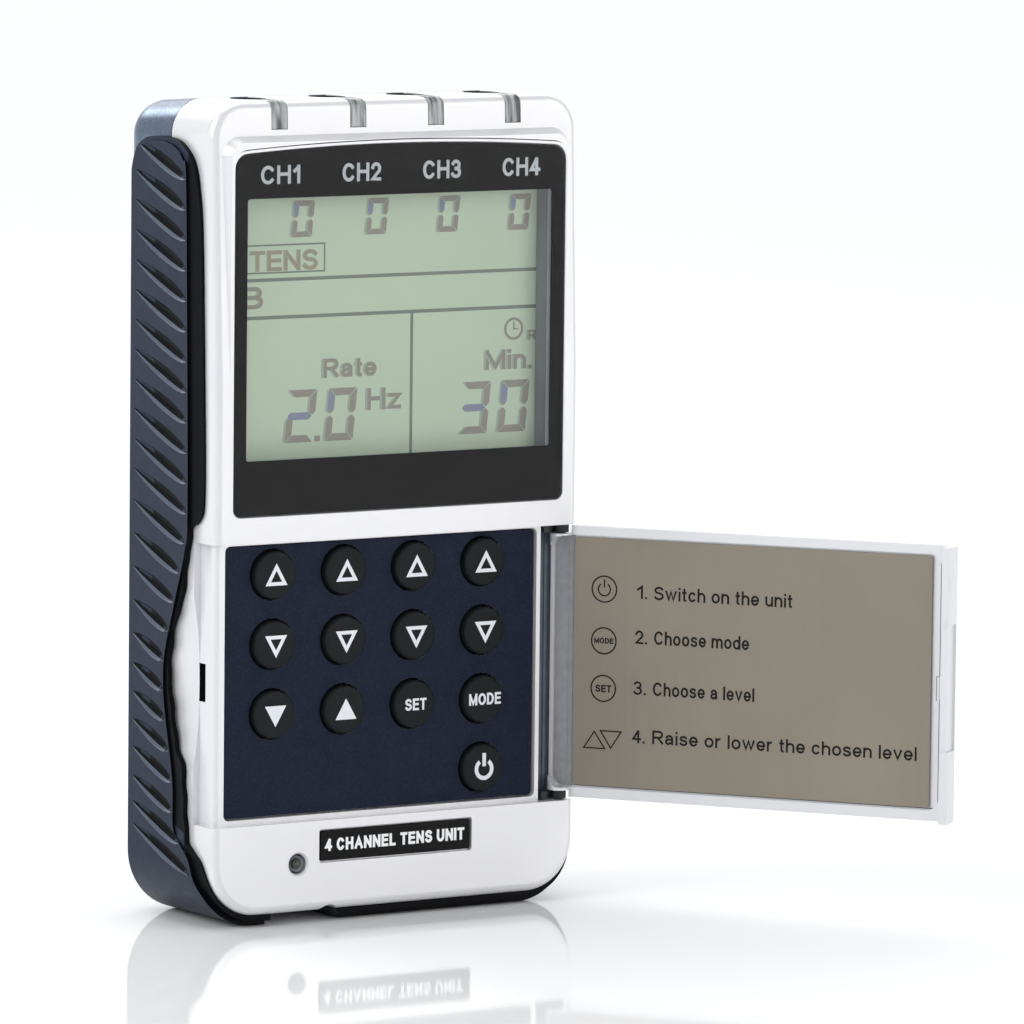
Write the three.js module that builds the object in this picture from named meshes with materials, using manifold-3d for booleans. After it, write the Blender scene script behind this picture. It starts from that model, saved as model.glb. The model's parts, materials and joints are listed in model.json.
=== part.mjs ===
// Hand-held four-channel TENS unit, standing upright on its rubber boot, with the keypad door swung open.
// Millimetres. +X is the right-hand side seen from the front, +Y runs from the front to the back, +Z is up.
// The origin is the centre of the base.
import * as THREE from "three";
import { mergeVertices } from "three/addons/utils/BufferGeometryUtils.js";
import Module from "manifold-3d";

const wasm = await Module();
wasm.setup();

// Overall shell
const CASE_WIDTH = 73;
const CASE_TOP = 140;
const CASE_BOTTOM = 2;
const FRONT = -16;
const BACK = 16;
const WALL = 2.4;
const TOP_RADIUS = 6;
const BOTTOM_RADIUS = 9;
const FRONT_ROUNDING = 1.6;
const REAR_ROUNDING = 6;
const PARTING = 1.5;
const FIT_GAP = 0.3;

// Display end: the surround leans back above this height and leaves the bezel proud
const LEAN_START = 92.7;
const LEAN_ANGLE = 0.038;
const BEZEL_HALF_WIDTH = 34.8;
const BEZEL_TOP = 134.4;
const BEZEL_CHAMFER = 1.2;
const WINDOW_HALF_WIDTH = 33.3;
const WINDOW_BOTTOM = 70.1;
const WINDOW_SHOULDER = 131.4;
const WINDOW_CROWN = 132.5;
const APERTURE_HALF_WIDTH = 30.3;
const APERTURE_BOTTOM = 79.5;
const APERTURE_TOP = 123.8;

// Keypad end
const RECESS_BOTTOM = 17.5;
const RECESS_TOP = 65.6;
const RECESS_FLOOR = -13.9;
const SIDE_INSET = -35.2;
const SIDE_INSET_BACK = -10.6;
const POCKET_LEFT = -33.2;
const POCKET_RIGHT = 29.5;
const POCKET_BOTTOM = 18.3;
const POCKET_TOP = 65.1;
const PLATE_FRONT = -12.5;
const PLATE_THICKNESS = 0.8;
const CHANNEL_LEFT = 30.3;
const KEYPAD_WALL_BACK = -10;
const KEY_LEFT = -23.4;
const KEY_TOP_ROW = 59.8;
const KEY_PITCH_X = 14.05;
const KEY_PITCH_Z = 11.92;
const KEY_RADIUS = 4.25;
const KEY_HOLE_RADIUS = 4.47;
const KEY_FRONT = -14.35;

// Output sockets and the light pipes in front of them
const CHANNEL_PITCH = 15.57;
const SOCKET_DEPTH_Y = -4.3;
const SOCKET_HOLE_RADIUS = 3.4;
const PIPE_WIDTH = 3.1;
const PIPE_BOTTOM = 135.3;

// Door and hinge
const HINGE_X = 34.5;
const HINGE_Y = -14;
const DOOR_OPEN_ANGLE = THREE.MathUtils.degToRad(125.5);
const DOOR_BOTTOM = 17.9;
const DOOR_TOP = 65.3;
const DOOR_LENGTH = 71.5;
const BARREL_RADIUS = 2;
const PIN_RADIUS = 0.75;
const PIN_HOLE_RADIUS = 0.83;

// Batteries
const CELL_RADIUS = 7.1;
const CELL_PITCH = 15.2;
const CELL_Y = 6.5;
const BAY_HALF_WIDTH = 31.6;
const BAY_BOTTOM = 11.8;
const BAY_TOP = 66.2;

// Case screws
const SCREW_X = 30.6;
const SCREW_HEIGHTS = [72.6, 132];

const ROUND = 16;
const KEY_SIDES = 16;

const silver = { color: 0xd9dbdf, roughness: 0.32, metalness: 0.55 };
const slate = { color: 0x2c3947, roughness: 0.35, metalness: 0.6 };
const rubber = { color: 0x1d222b, roughness: 0.7, metalness: 0 };
const black = { color: 0x0e0f11, roughness: 0.45, metalness: 0 };
const navy = { color: 0x1b2440, roughness: 0.4, metalness: 0.25 };
const blackKey = { color: 0x161617, roughness: 0.6, metalness: 0 };
const steel = { color: 0x9a9da1, roughness: 0.3, metalness: 1 };
const brass = { color: 0xb08d4c, roughness: 0.35, metalness: 1 };

const group = new THREE.Group();
group.name = "tens_unit";

// ---------- solid helpers ----------

function solidOf(geometry) {
  const bare = geometry.clone();
  bare.deleteAttribute("normal");
  bare.deleteAttribute("uv");
  const merged = mergeVertices(bare, 1e-4);
  return new wasm.Manifold(
    new wasm.Mesh({
      numProp: 3,
      vertProperties: merged.attributes.position.array,
      triVerts: new Uint32Array(merged.index.array),
    }),
  );
}

function geometryOf(solid) {
  const mesh = solid.getMesh();
  const geometry = new THREE.BufferGeometry();
  geometry.setAttribute("position", new THREE.BufferAttribute(new Float32Array(mesh.vertProperties), 3));
  geometry.setIndex(new THREE.BufferAttribute(new Uint32Array(mesh.triVerts), 1));
  geometry.computeVertexNormals();
  return geometry;
}

function addMesh(parent, name, geometry, finish) {
  const mesh = new THREE.Mesh(geometry, new THREE.MeshStandardMaterial(finish));
  mesh.name = name;
  parent.add(mesh);
  return mesh;
}

function box(x0, x1, y0, y1, z0, z1) {
  const geometry = new THREE.BoxGeometry(x1 - x0, y1 - y0, z1 - z0);
  geometry.translate((x0 + x1) / 2, (y0 + y1) / 2, (z0 + z1) / 2);
  return solidOf(geometry);
}

// Closed outline in the XZ plane, counter-clockwise seen from the front.
function roundedOutline(x0, x1, z0, z1, lowRadius, highRadius, steps = 6) {
  const corners = [
    [x1 - lowRadius, z0 + lowRadius, lowRadius, -Math.PI / 2],
    [x1 - highRadius, z1 - highRadius, highRadius, 0],
    [x0 + highRadius, z1 - highRadius, highRadius, Math.PI / 2],
    [x0 + lowRadius, z0 + lowRadius, lowRadius, Math.PI],
  ];
  const points = [];
  for (const [cx, cz, radius, start] of corners) {
    for (let i = 0; i <= steps; i++) {
      const angle = start + ((Math.PI / 2) * i) / steps;
      points.push(new THREE.Vector2(cx + radius * Math.cos(angle), cz + radius * Math.sin(angle)));
    }
  }
  return points;
}

function caseOutline(inset) {
  const low = Math.max(BOTTOM_RADIUS - inset, 0.6);
  const high = Math.max(TOP_RADIUS - inset, 0.6);
  const half = CASE_WIDTH / 2 - inset;
  return roundedOutline(-half, half, CASE_BOTTOM + inset, CASE_TOP - inset, low, high, 5);
}

// Joins outlines with equal point counts, given from front to back, into one closed body.
function stack(rings) {
  const count = rings[0].points.length;
  const positions = [];
  for (const ring of rings) {
    for (const point of ring.points) positions.push(point.x, ring.y, point.y);
  }
  const index = [];
  for (let k = 0; k < rings.length - 1; k++) {
    for (let i = 0; i < count; i++) {
      const a = k * count + i;
      const b = k * count + ((i + 1) % count);
      index.push(a, b + count, b, a, a + count, b + count);
    }
  }
  const last = (rings.length - 1) * count;
  for (const [p, q, r] of THREE.ShapeUtils.triangulateShape(rings[0].points, [])) index.push(p, q, r);
  for (const [p, q, r] of THREE.ShapeUtils.triangulateShape(rings[rings.length - 1].points, [])) {
    index.push(last + p, last + r, last + q);
  }
  const geometry = new THREE.BufferGeometry();
  geometry.setAttribute("position", new THREE.Float32BufferAttribute(positions, 3));
  geometry.setIndex(index);
  return geometry;
}

// Extrudes an XZ outline, with optional holes, from yFront back to yBack.
function prismY(points, yFront, yBack, holes = []) {
  const shape = new THREE.Shape(points);
  for (const hole of holes) shape.holes.push(new THREE.Path(hole));
  const geometry = new THREE.ExtrudeGeometry(shape, { depth: yBack - yFront, bevelEnabled: false });
  geometry.rotateX(Math.PI / 2);
  geometry.translate(0, yBack, 0);
  return geometry;
}

// Extrudes a YZ outline along X.
function prismX(points, x0, x1) {
  const geometry = new THREE.ExtrudeGeometry(new THREE.Shape(points), { depth: x1 - x0, bevelEnabled: false });
  const turn = new THREE.Matrix4().makeBasis(
    new THREE.Vector3(0, 1, 0),
    new THREE.Vector3(0, 0, 1),
    new THREE.Vector3(1, 0, 0),
  );
  geometry.applyMatrix4(turn);
  geometry.translate(x0, 0, 0);
  return geometry;
}

// Extrudes an XY outline along Z.
function prismZ(points, z0, z1) {
  const geometry = new THREE.ExtrudeGeometry(new THREE.Shape(points), { depth: z1 - z0, bevelEnabled: false });
  geometry.translate(0, 0, z0);
  return geometry;
}

function circle(cx, cz, radius, segments = KEY_SIDES) {
  const points = [];
  for (let i = 0; i < segments; i++) {
    const angle = (2 * Math.PI * i) / segments;
    points.push(new THREE.Vector2(cx + radius * Math.cos(angle), cz + radius * Math.sin(angle)));
  }
  return points;
}

// Turned body along +Z; the profile holds [radius, height] pairs and ends on the axis.
function turnedZ(profile, segments = ROUND) {
  const points = profile.map(([r, h]) => new THREE.Vector2(r, h));
  const geometry = new THREE.LatheGeometry(points, segments);
  geometry.rotateX(Math.PI / 2);
  return geometry;
}

// Turned body along +Y.
function turnedY(profile, segments = ROUND) {
  const points = profile.map(([r, h]) => new THREE.Vector2(r, h));
  return new THREE.LatheGeometry(points, segments);
}

function rodY(x, z, radius, y0, y1, segments = ROUND) {
  const geometry = turnedY([[0, y0], [radius, y0], [radius, y1], [0, y1]], segments);
  geometry.translate(x, 0, z);
  return solidOf(geometry);
}

function rodZ(x, y, radius, z0, z1, segments = ROUND) {
  const geometry = turnedZ([[0, z0], [radius, z0], [radius, z1], [0, z1]], segments);
  geometry.translate(x, y, 0);
  return solidOf(geometry);
}

// Quarter-round edge: rings whose inset falls from the radius to nothing.
function edgeRings(y, radius, direction, steps) {
  const rings = [];
  for (let i = 0; i <= steps; i++) {
    const angle = ((Math.PI / 2) * i) / steps;
    const inset = radius * (1 - Math.sin(angle));
    rings.push({ y: y + direction * radius * (1 - Math.cos(angle)), inset });
  }
  return rings;
}

// ---------- layout helpers ----------

const channelCentres = [-1.5, -0.5, 0.5, 1.5].map((step) => step * CHANNEL_PITCH);

function keyPositions() {
  const names = [
    ["key_up_ch1", "key_up_ch2", "key_up_ch3", "key_up_ch4"],
    ["key_down_ch1", "key_down_ch2", "key_down_ch3", "key_down_ch4"],
    ["key_decrease", "key_increase", "key_set", "key_mode"],
    [null, null, null, "key_power"],
  ];
  const keys = [];
  names.forEach((row, j) =>
    row.forEach((name, i) => {
      if (name) keys.push({ name, x: KEY_LEFT + KEY_PITCH_X * i, z: KEY_TOP_ROW - KEY_PITCH_Z * j });
    }),
  );
  return keys;
}

const keys = keyPositions();

function windowOutline(grow) {
  const half = WINDOW_HALF_WIDTH + grow;
  const bottom = WINDOW_BOTTOM - grow;
  const lowRadius = 1.4 + grow;
  const topRadius = 2.6;
  const outline = roundedOutline(-half, half, bottom, WINDOW_SHOULDER + grow, lowRadius, topRadius, 4);
  const rise = WINDOW_CROWN - WINDOW_SHOULDER;
  const crown = [];
  for (let i = 1; i < 8; i++) {
    const x = (half - topRadius) * (1 - i / 4);
    const bow = 1 - (x / (half - topRadius)) ** 2;
    crown.push(new THREE.Vector2(x, WINDOW_SHOULDER + grow + rise * bow));
  }
  return [...outline.slice(0, 10), ...crown, ...outline.slice(10)];
}

// ---------- front case ----------

function frontShell() {
  const rounded = edgeRings(FRONT, FRONT_ROUNDING, 1, 4).map(({ y, inset }) => ({ y, points: caseOutline(inset) }));
  rounded.push({ y: PARTING - 0.15, points: caseOutline(0) });
  const straight = solidOf(stack(rounded));

  const flare = -3;
  const reach = 40;
  const leaning = edgeRings(0, FRONT_ROUNDING, 1, 4).map(({ y, inset }) => ({ y, inset }));
  leaning.push({ y: FRONT_ROUNDING + 0.05, inset: flare }, { y: reach, inset: flare });
  const tilted = stack(
    leaning.map(({ y, inset }) => {
      const half = CASE_WIDTH / 2 - inset;
      const high = Math.max(TOP_RADIUS - inset, 0.6);
      const bottom = -reach;
      return { y, points: roundedOutline(-half, half, bottom, CASE_TOP - inset, 1, high) };
    }),
  );
  tilted.translate(0, 0, -LEAN_START);
  tilted.rotateX(-LEAN_ANGLE);
  tilted.translate(0, FRONT, LEAN_START);
  return straight.intersect(solidOf(tilted));
}

function bezel() {
  const ring = (y, grow) => ({
    y,
    points: roundedOutline(
      -BEZEL_HALF_WIDTH - grow,
      BEZEL_HALF_WIDTH + grow,
      LEAN_START - 8,
      BEZEL_TOP + grow,
      1,
      3.5 + grow,
      5,
    ),
  });
  return solidOf(stack([ring(FRONT, -BEZEL_CHAMFER), ring(FRONT + 1.8, 0), ring(FRONT + 3, 0.2)]));
}

// Core that is left standing inside the door recess.
function recessCore() {
  const corner = 1.1;
  const outline = [
    new THREE.Vector2(CHANNEL_LEFT, SIDE_INSET_BACK + 0.2),
    new THREE.Vector2(SIDE_INSET, SIDE_INSET_BACK + 0.2),
  ];
  for (let i = 0; i <= 5; i++) {
    const angle = Math.PI + ((Math.PI / 2) * i) / 5;
    outline.push(
      new THREE.Vector2(
        SIDE_INSET + corner + corner * Math.cos(angle),
        RECESS_FLOOR + corner + corner * Math.sin(angle),
      ),
    );
  }
  outline.push(new THREE.Vector2(CHANNEL_LEFT, RECESS_FLOOR));
  return solidOf(prismZ(outline, RECESS_BOTTOM - 0.1, RECESS_TOP + 0.1));
}

function thumbScoop() {
  const scoop = new THREE.SphereGeometry(1, 24, 16);
  scoop.scale(2.6, 8.5, 17);
  scoop.translate(-CASE_WIDTH / 2 - 1.3, -8.4, 41.6);
  return solidOf(scoop);
}

function lightPipeProfile(grow) {
  const front = FRONT + (PIPE_BOTTOM - LEAN_START) * LEAN_ANGLE - 0.12;
  const top = CASE_TOP + 0.1;
  const thick = 1.5;
  return [
    new THREE.Vector2(front, PIPE_BOTTOM - grow),
    new THREE.Vector2(front + thick + grow, PIPE_BOTTOM - grow),
    new THREE.Vector2(front + thick + grow, top - thick - grow),
    new THREE.Vector2(front + 6 + grow, top - thick - grow),
    new THREE.Vector2(front + 6 + grow, top),
    new THREE.Vector2(front + 1.5, top),
    new THREE.Vector2(front + 0.7, top - 0.3),
    new THREE.Vector2(front + 0.25, top - 0.9),
    new THREE.Vector2(front + 0.16, top - 1.8),
  ];
}

function frontCase() {
  let body = frontShell().add(bezel());
  const middle = CASE_TOP / 2;
  const half = CASE_WIDTH / 2 - WALL;

  // Hollow behind the display and behind the keypad
  const upper = roundedOutline(-half, half, RECESS_TOP + 2.4, CASE_TOP - WALL, 1, TOP_RADIUS - WALL, 4);
  const lower = roundedOutline(-half, half, CASE_BOTTOM + WALL, RECESS_TOP + 3, BOTTOM_RADIUS - WALL, 1, 4);
  body = body.subtract(solidOf(prismY(upper, FRONT + 3, PARTING + 1)));
  body = body.subtract(solidOf(prismY(lower, KEYPAD_WALL_BACK, PARTING + 1)));

  // Door recess, wrapping on to the left side, with the core left standing
  body = body.subtract(box(-middle, middle, -middle, SIDE_INSET_BACK, RECESS_BOTTOM, RECESS_TOP));
  body = body.add(recessCore());

  // Keypad pocket, key holes, latch slot and thumb scoop
  const pocket = roundedOutline(POCKET_LEFT, POCKET_RIGHT, POCKET_BOTTOM, POCKET_TOP, 1, 1, 3);
  body = body.subtract(solidOf(prismY(pocket, -20, PLATE_FRONT + PLATE_THICKNESS + FIT_GAP)));
  for (const key of keys) {
    body = body.subtract(rodY(key.x, key.z, KEY_HOLE_RADIUS + 0.1, -14, KEYPAD_WALL_BACK + 1, KEY_SIDES));
  }
  body = body.subtract(box(-38, SIDE_INSET + 1.2, -12.3, SIDE_INSET_BACK + 0.2, 38.5, 45));
  body = body.subtract(thumbScoop());

  // Window seat and display opening
  body = body.subtract(solidOf(prismY(windowOutline(FIT_GAP), -20, FRONT + 1.75)));
  const opening = roundedOutline(-31, 31, 78.8, 124.5, 1, 1, 2);
  body = body.subtract(solidOf(prismY(opening, -20, FRONT + 4)));

  // Light pipe slots and socket holes in the top
  for (const x of channelCentres) {
    const slot = prismX(lightPipeProfile(FIT_GAP), x - PIPE_WIDTH / 2 - FIT_GAP, x + PIPE_WIDTH / 2 + FIT_GAP);
    body = body.subtract(solidOf(slot));
    const lift = prismX(
      [
        new THREE.Vector2(-20, PIPE_BOTTOM - FIT_GAP),
        new THREE.Vector2(-14, PIPE_BOTTOM - FIT_GAP),
        new THREE.Vector2(-14, CASE_TOP + 1),
        new THREE.Vector2(-20, CASE_TOP + 1),
      ],
      x - PIPE_WIDTH / 2 - FIT_GAP,
      x + PIPE_WIDTH / 2 + FIT_GAP,
    );
    body = body.subtract(solidOf(lift));
    body = body.subtract(rodZ(x, SOCKET_DEPTH_Y, SOCKET_HOLE_RADIUS, CASE_TOP - 4, CASE_TOP + 1));
  }

  // Badge pocket, status light hole and the nail notch in the bottom edge
  const badge = roundedOutline(-15.4, 15.4, 10.2, 16, 0.5, 0.5, 2);
  body = body.subtract(solidOf(prismY(badge, -20, FRONT + 0.8)));
  body = body.subtract(rodY(-19.5, 10.3, 1.75, -20, FRONT + 5.5));
  body = body.subtract(rodY(-13.1, 0.6, 2.3, -20, -10));

  // Hinge pin holes in the ends of the recess
  body = body.subtract(rodZ(HINGE_X, HINGE_Y, PIN_HOLE_RADIUS, RECESS_TOP - 1, RECESS_TOP + 3.4));
  body = body.subtract(rodZ(HINGE_X, HINGE_Y, PIN_HOLE_RADIUS, RECESS_BOTTOM - 3.4, RECESS_BOTTOM + 1));

  // Screw bosses
  for (const z of SCREW_HEIGHTS) {
    for (const x of [-SCREW_X, SCREW_X]) {
      body = body.add(rodY(x, z, 2.4, FRONT + 2.9, 1.2, 16));
      body = body.subtract(rodY(x, z, 1.35, FRONT + 5, 2, 16));
    }
  }
  return geometryOf(body);
}

// ---------- rear case, battery bay and battery door ----------

function rearCase() {
  const rings = [{ y: PARTING + 0.15, points: caseOutline(0) }];
  for (const { y, inset } of edgeRings(BACK, REAR_ROUNDING, -1, 6).reverse()) {
    rings.push({ y, points: caseOutline(inset) });
  }
  let body = solidOf(stack(rings));
  const hollow = caseOutline(WALL);
  const innerRear = caseOutline(REAR_ROUNDING - 1.2);
  const inside = stack([
    { y: PARTING - 1, points: hollow },
    { y: BACK - REAR_ROUNDING + 0.4, points: hollow },
    { y: BACK - WALL, points: innerRear },
  ]);
  body = body.subtract(solidOf(inside));

  // Battery bay: a tray open to the back
  const tray = box(-BAY_HALF_WIDTH - 1.4, BAY_HALF_WIDTH + 1.4, -3.2, BACK - 1.5, BAY_BOTTOM - 1.4, BAY_TOP + 1.4);
  body = body.add(tray);
  body = body.subtract(box(-BAY_HALF_WIDTH, BAY_HALF_WIDTH, -1.9, BACK + 1, BAY_BOTTOM, BAY_TOP));
  const ledge = roundedOutline(-33.3, 33.3, 9.6, 68.4, 2.3, 2.3, 4);
  body = body.subtract(solidOf(prismY(ledge, BACK - 2.1, BACK + 1)));

  // Screw wells
  for (const z of SCREW_HEIGHTS) {
    for (const x of [-SCREW_X, SCREW_X]) {
      body = body.add(rodY(x, z, 3.4, PARTING + 0.15, BACK - 1.6, 16));
      body = body.subtract(rodY(x, z, 2.7, 7, BACK + 1, 16));
      body = body.subtract(rodY(x, z, 1.5, 0, 8, 16));
    }
  }

  // Thumb relief above the battery door
  const relief = turnedY([[0, 0], [5.2, 0], [6.4, 1.2], [0, 1.2]], ROUND);
  relief.translate(0, BACK - 1, 70.4);
  body = body.subtract(solidOf(relief));
  return geometryOf(body);
}

function batteryDoor() {
  const ring = (y, grow) => ({ y, points: roundedOutline(-33 + grow, 33 - grow, 9.9 + grow, 68.1 - grow, 2, 2, 4) });
  let body = solidOf(stack([ring(BACK - 1.8, 0), ring(BACK - 0.3, 0), ring(BACK, 0.3)]));
  for (let i = 0; i < 5; i++) {
    const z = 58 + i * 1.7;
    body = body.subtract(box(-8, 8, BACK - 0.4, BACK + 1, z, z + 0.8));
  }
  return geometryOf(body);
}

function batteryCell(upwards) {
  const length = 50.5;
  const profile = [
    [0, 0],
    [5.5, 0],
    [5.9, 0.6],
    [CELL_RADIUS, 0.8],
    [CELL_RADIUS, length - 1.8],
    [6.4, length - 1.4],
    [2.7, length - 1.2],
    [2.7, length],
    [0, length],
  ];
  const geometry = turnedZ(profile, 14);
  if (!upwards) {
    geometry.rotateX(Math.PI);
    geometry.translate(0, 0, length);
  }
  return geometry;
}

function contactStrip(z) {
  let strip = box(-BAY_HALF_WIDTH + 0.4, BAY_HALF_WIDTH - 0.4, 1, 12, z, z + 0.4);
  for (const x of [-CELL_PITCH, 0, CELL_PITCH]) {
    strip = strip.subtract(box(x - 0.6, x + 0.6, 3, 13, z - 1, z + 1));
  }
  return geometryOf(strip);
}

// ---------- rubber boot ----------

function smooth(points, divisions) {
  const curve = new THREE.CatmullRomCurve3(points.map(([y, z]) => new THREE.Vector3(y, z, 0)), false, "centripetal");
  return curve.getPoints(divisions).map((p) => new THREE.Vector2(p.x, p.y));
}

// Front edges seen from the side, from the top of the boot to its base.
const skirtEdge = [
  [11.4, 131.6], [5.2, 133.2], [-0.4, 133.6], [-4.7, 133.2], [-8, 131.5], [-10, 129.2], [-11.2, 125.3],
  [-12.2, 117.8], [-13, 95], [-13.4, 74], [-12.1, 69.5], [-9.2, 67.7], [-8.2, 62.5], [-6.9, 56.1],
  [-4.4, 51.4], [-3, 46.4], [-2.7, 41.8], [-4.2, 34.4], [-5.6, 29.9], [-7.4, 27.2], [-8, 21.6],
  [-8.8, 15], [-10.5, 13.1], [-13.2, 11.2], [-14.6, 8], [-15.2, 3], [-15.2, -1],
];
const padEdge = [
  [10.1, 127.5], [8.8, 130.6], [5.7, 132.3], [0.7, 132.9], [-2.6, 132.6], [-5.3, 131.6], [-7, 130],
  [-8, 127.5], [-8.6, 106.6], [-9.2, 71], [-8.3, 64], [-5.2, 55.4], [-2, 46.5], [-1.4, 41.3],
  [-2.1, 35.8], [-4.7, 24.5], [-5, 16.6], [-7.4, 13.8], [-10.1, 11.4], [-11.2, 8], [-12.6, 4.4], [-13.2, -1],
];

function sideProfile(edge, rear, divisions) {
  const outline = smooth(edge, divisions);
  outline.push(new THREE.Vector2(rear, -1));
  outline.push(new THREE.Vector2(rear, edge[0][1]));
  return outline;
}

function bootBand(side, base) {
  const half = CASE_WIDTH / 2;
  const grow = 2 - base;
  const outer = roundedOutline(
    -half - side,
    half + side,
    base,
    CASE_TOP + 1,
    BOTTOM_RADIUS + Math.max(side, grow),
    TOP_RADIUS,
    8,
  );
  const gap = FIT_GAP;
  const inner = roundedOutline(
    -half - gap,
    half + gap,
    CASE_BOTTOM - gap,
    CASE_TOP,
    BOTTOM_RADIUS + gap,
    TOP_RADIUS,
    8,
  );
  return solidOf(prismY(outer, -15.6, 11.6, [inner]));
}

function edgeAt(edge, z) {
  for (let i = 0; i < edge.length - 1; i++) {
    const [y0, z0] = edge[i];
    const [y1, z1] = edge[i + 1];
    if (z0 >= z && z >= z1) return y0 + ((y1 - y0) * (z0 - z)) / Math.max(z0 - z1, 1e-6);
  }
  return edge[edge.length - 1][0];
}

// Leaf-shaped grooves that slope down towards the front.
const GROOVE_COUNT = 24;
const GROOVE_TOP_TIP = 127;
const GROOVE_PITCH = 5.13;
const GROOVE_TILT = 0.33;
const GROOVE_REAR = 8.6;

function grooveSpindles(side) {
  const grooves = [];
  for (let i = 0; i < GROOVE_COUNT; i++) {
    const tipZ = GROOVE_TOP_TIP - GROOVE_PITCH * i;
    const tipY = edgeAt(padEdge, tipZ) + 0.9;
    const length = Math.max((GROOVE_REAR - tipY) / Math.cos(GROOVE_TILT), 5);
    const wide = 0.95;
    const spindle = turnedZ(
      [
        [0, -length / 2],
        [wide * 0.62, -length * 0.3],
        [wide, 0],
        [wide * 0.62, length * 0.3],
        [0, length / 2],
      ],
      6,
    );
    spindle.scale(0.75, 1, 1);
    spindle.rotateX(Math.PI / 2 - GROOVE_TILT);
    const middleY = tipY + (length / 2) * Math.cos(GROOVE_TILT);
    const middleZ = tipZ + (length / 2) * Math.sin(GROOVE_TILT);
    spindle.translate(side * (CASE_WIDTH / 2 + 1.35), middleY, middleZ);
    grooves.push(solidOf(spindle));
  }
  return grooves;
}

function rubberBoot() {
  const skirt = bootBand(0.8, 0.6).intersect(solidOf(prismX(sideProfile(skirtEdge, 11.4, 46), -50, 50)));
  const pad = bootBand(1.35, 0).intersect(solidOf(prismX(sideProfile(padEdge, 10.1, 40), -50, 50)));
  let boot = skirt.add(pad);
  for (const side of [-1, 1]) {
    for (const groove of grooveSpindles(side)) boot = boot.subtract(groove);
  }
  // Gap in the front of the base
  const gap = [
    new THREE.Vector2(-24.6, -1),
    new THREE.Vector2(-9, -1),
    new THREE.Vector2(-12, 2.5),
    new THREE.Vector2(-24.2, 2.5),
  ];
  boot = boot.subtract(solidOf(prismY(gap, -20, -3)));
  return geometryOf(boot);
}

// ---------- display ----------

function displayWindow() {
  const face = windowOutline(0);
  return prismY(face, FRONT + 0.15, FRONT + 0.95);
}

function displayMask() {
  const hole = roundedOutline(
    -APERTURE_HALF_WIDTH,
    APERTURE_HALF_WIDTH,
    APERTURE_BOTTOM,
    APERTURE_TOP,
    0.6,
    0.6,
    2,
  );
  return prismY(windowOutline(-0.1), FRONT + 1.2, FRONT + 1.45, [hole]);
}

function displayFrame() {
  const outer = box(-33.7, 33.7, FRONT + 3.3, FRONT + 8.9, 76.5, 127);
  const sight = box(-30.8, 30.8, FRONT + 3, FRONT + 10, 79.1, 124.2);
  const seat = box(-32.3, 32.3, FRONT + 4.1, FRONT + 10, 77.8, 125.6);
  return geometryOf(outer.subtract(sight).subtract(seat));
}

function displayGlass() {
  const lower = box(-32, 32, FRONT + 4.4, FRONT + 6.2, 78.1, 125.3);
  const ledge = box(-40, 40, FRONT + 4, FRONT + 5.2, 124.5, 126);
  return geometryOf(lower.subtract(ledge));
}

function backlight() {
  const panel = box(-31.6, 31.6, FRONT + 6.5, FRONT + 8.7, 78.5, 124.9);
  const lead = box(31, 32, FRONT + 7.2, FRONT + 8, 95, 100);
  return geometryOf(panel.add(lead));
}

// ---------- keypad ----------

function keypadPlate() {
  const outline = roundedOutline(
    POCKET_LEFT + FIT_GAP,
    POCKET_RIGHT - FIT_GAP,
    POCKET_BOTTOM + FIT_GAP,
    POCKET_TOP - FIT_GAP,
    0.8,
    0.8,
    3,
  );
  const holes = keys.map((key) => circle(key.x, key.z, KEY_HOLE_RADIUS));
  return prismY(outline, PLATE_FRONT, PLATE_FRONT + PLATE_THICKNESS, holes);
}

function keyCap() {
  const flange = KEYPAD_WALL_BACK + 0.3;
  return turnedY([
    [0, KEY_FRONT],
    [KEY_RADIUS - 0.6, KEY_FRONT],
    [KEY_RADIUS - 0.18, KEY_FRONT + 0.16],
    [KEY_RADIUS, KEY_FRONT + 0.55],
    [KEY_RADIUS, flange],
    [5.1, flange],
    [5.1, flange + 0.6],
    [0, flange + 0.6],
  ]);
}

function keypadMat() {
  let mat = box(-32.5, 29, -8, -7, 19.5, 64.5);
  for (const key of keys) mat = mat.add(rodY(key.x, key.z, 2.4, -8.3, -7.5, 8));
  return geometryOf(mat);
}

function mainBoard() {
  let board = box(-33, 33, -6.4, -4.8, 20, 123);
  for (const side of [-1, 1]) board = board.subtract(rodY(side * SCREW_X, SCREW_HEIGHTS[0], 3, -10, 0, 16));
  board = board.add(box(-8, 6, -5, -3.6, 84, 98));
  board = board.add(box(10, 18, -5, -3.4, 100, 106));
  board = board.add(box(-26, -18, -5, -3.9, 76, 80));
  return geometryOf(board);
}

// ---------- connectors and lights ----------

function outputSocket() {
  return turnedZ([
    [0, 127.4],
    [4.6, 127.4],
    [4.6, 137.2],
    [3.3, 137.2],
    [3.1, 136.6],
    [3.1, 129.4],
    [0, 129.4],
  ]);
}

function statusLens() {
  return turnedY(
    [
      [0, FRONT + 0.25],
      [0.7, FRONT + 0.35],
      [1.15, FRONT + 0.75],
      [1.35, FRONT + 1.4],
      [1.35, FRONT + 5.2],
      [0, FRONT + 5.2],
    ],
    16,
  );
}

function nameBadge() {
  const ring = (y, inset) => ({
    y,
    points: roundedOutline(-15.1 + inset, 15.1 - inset, 10.5 + inset, 15.7 - inset, 0.4, 0.4, 2),
  });
  return stack([ring(FRONT + 0.05, 0.15), ring(FRONT + 0.2, 0), ring(FRONT + 0.5, 0)]);
}

// ---------- door, drawn closed about the hinge axis and then swung open ----------

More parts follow.
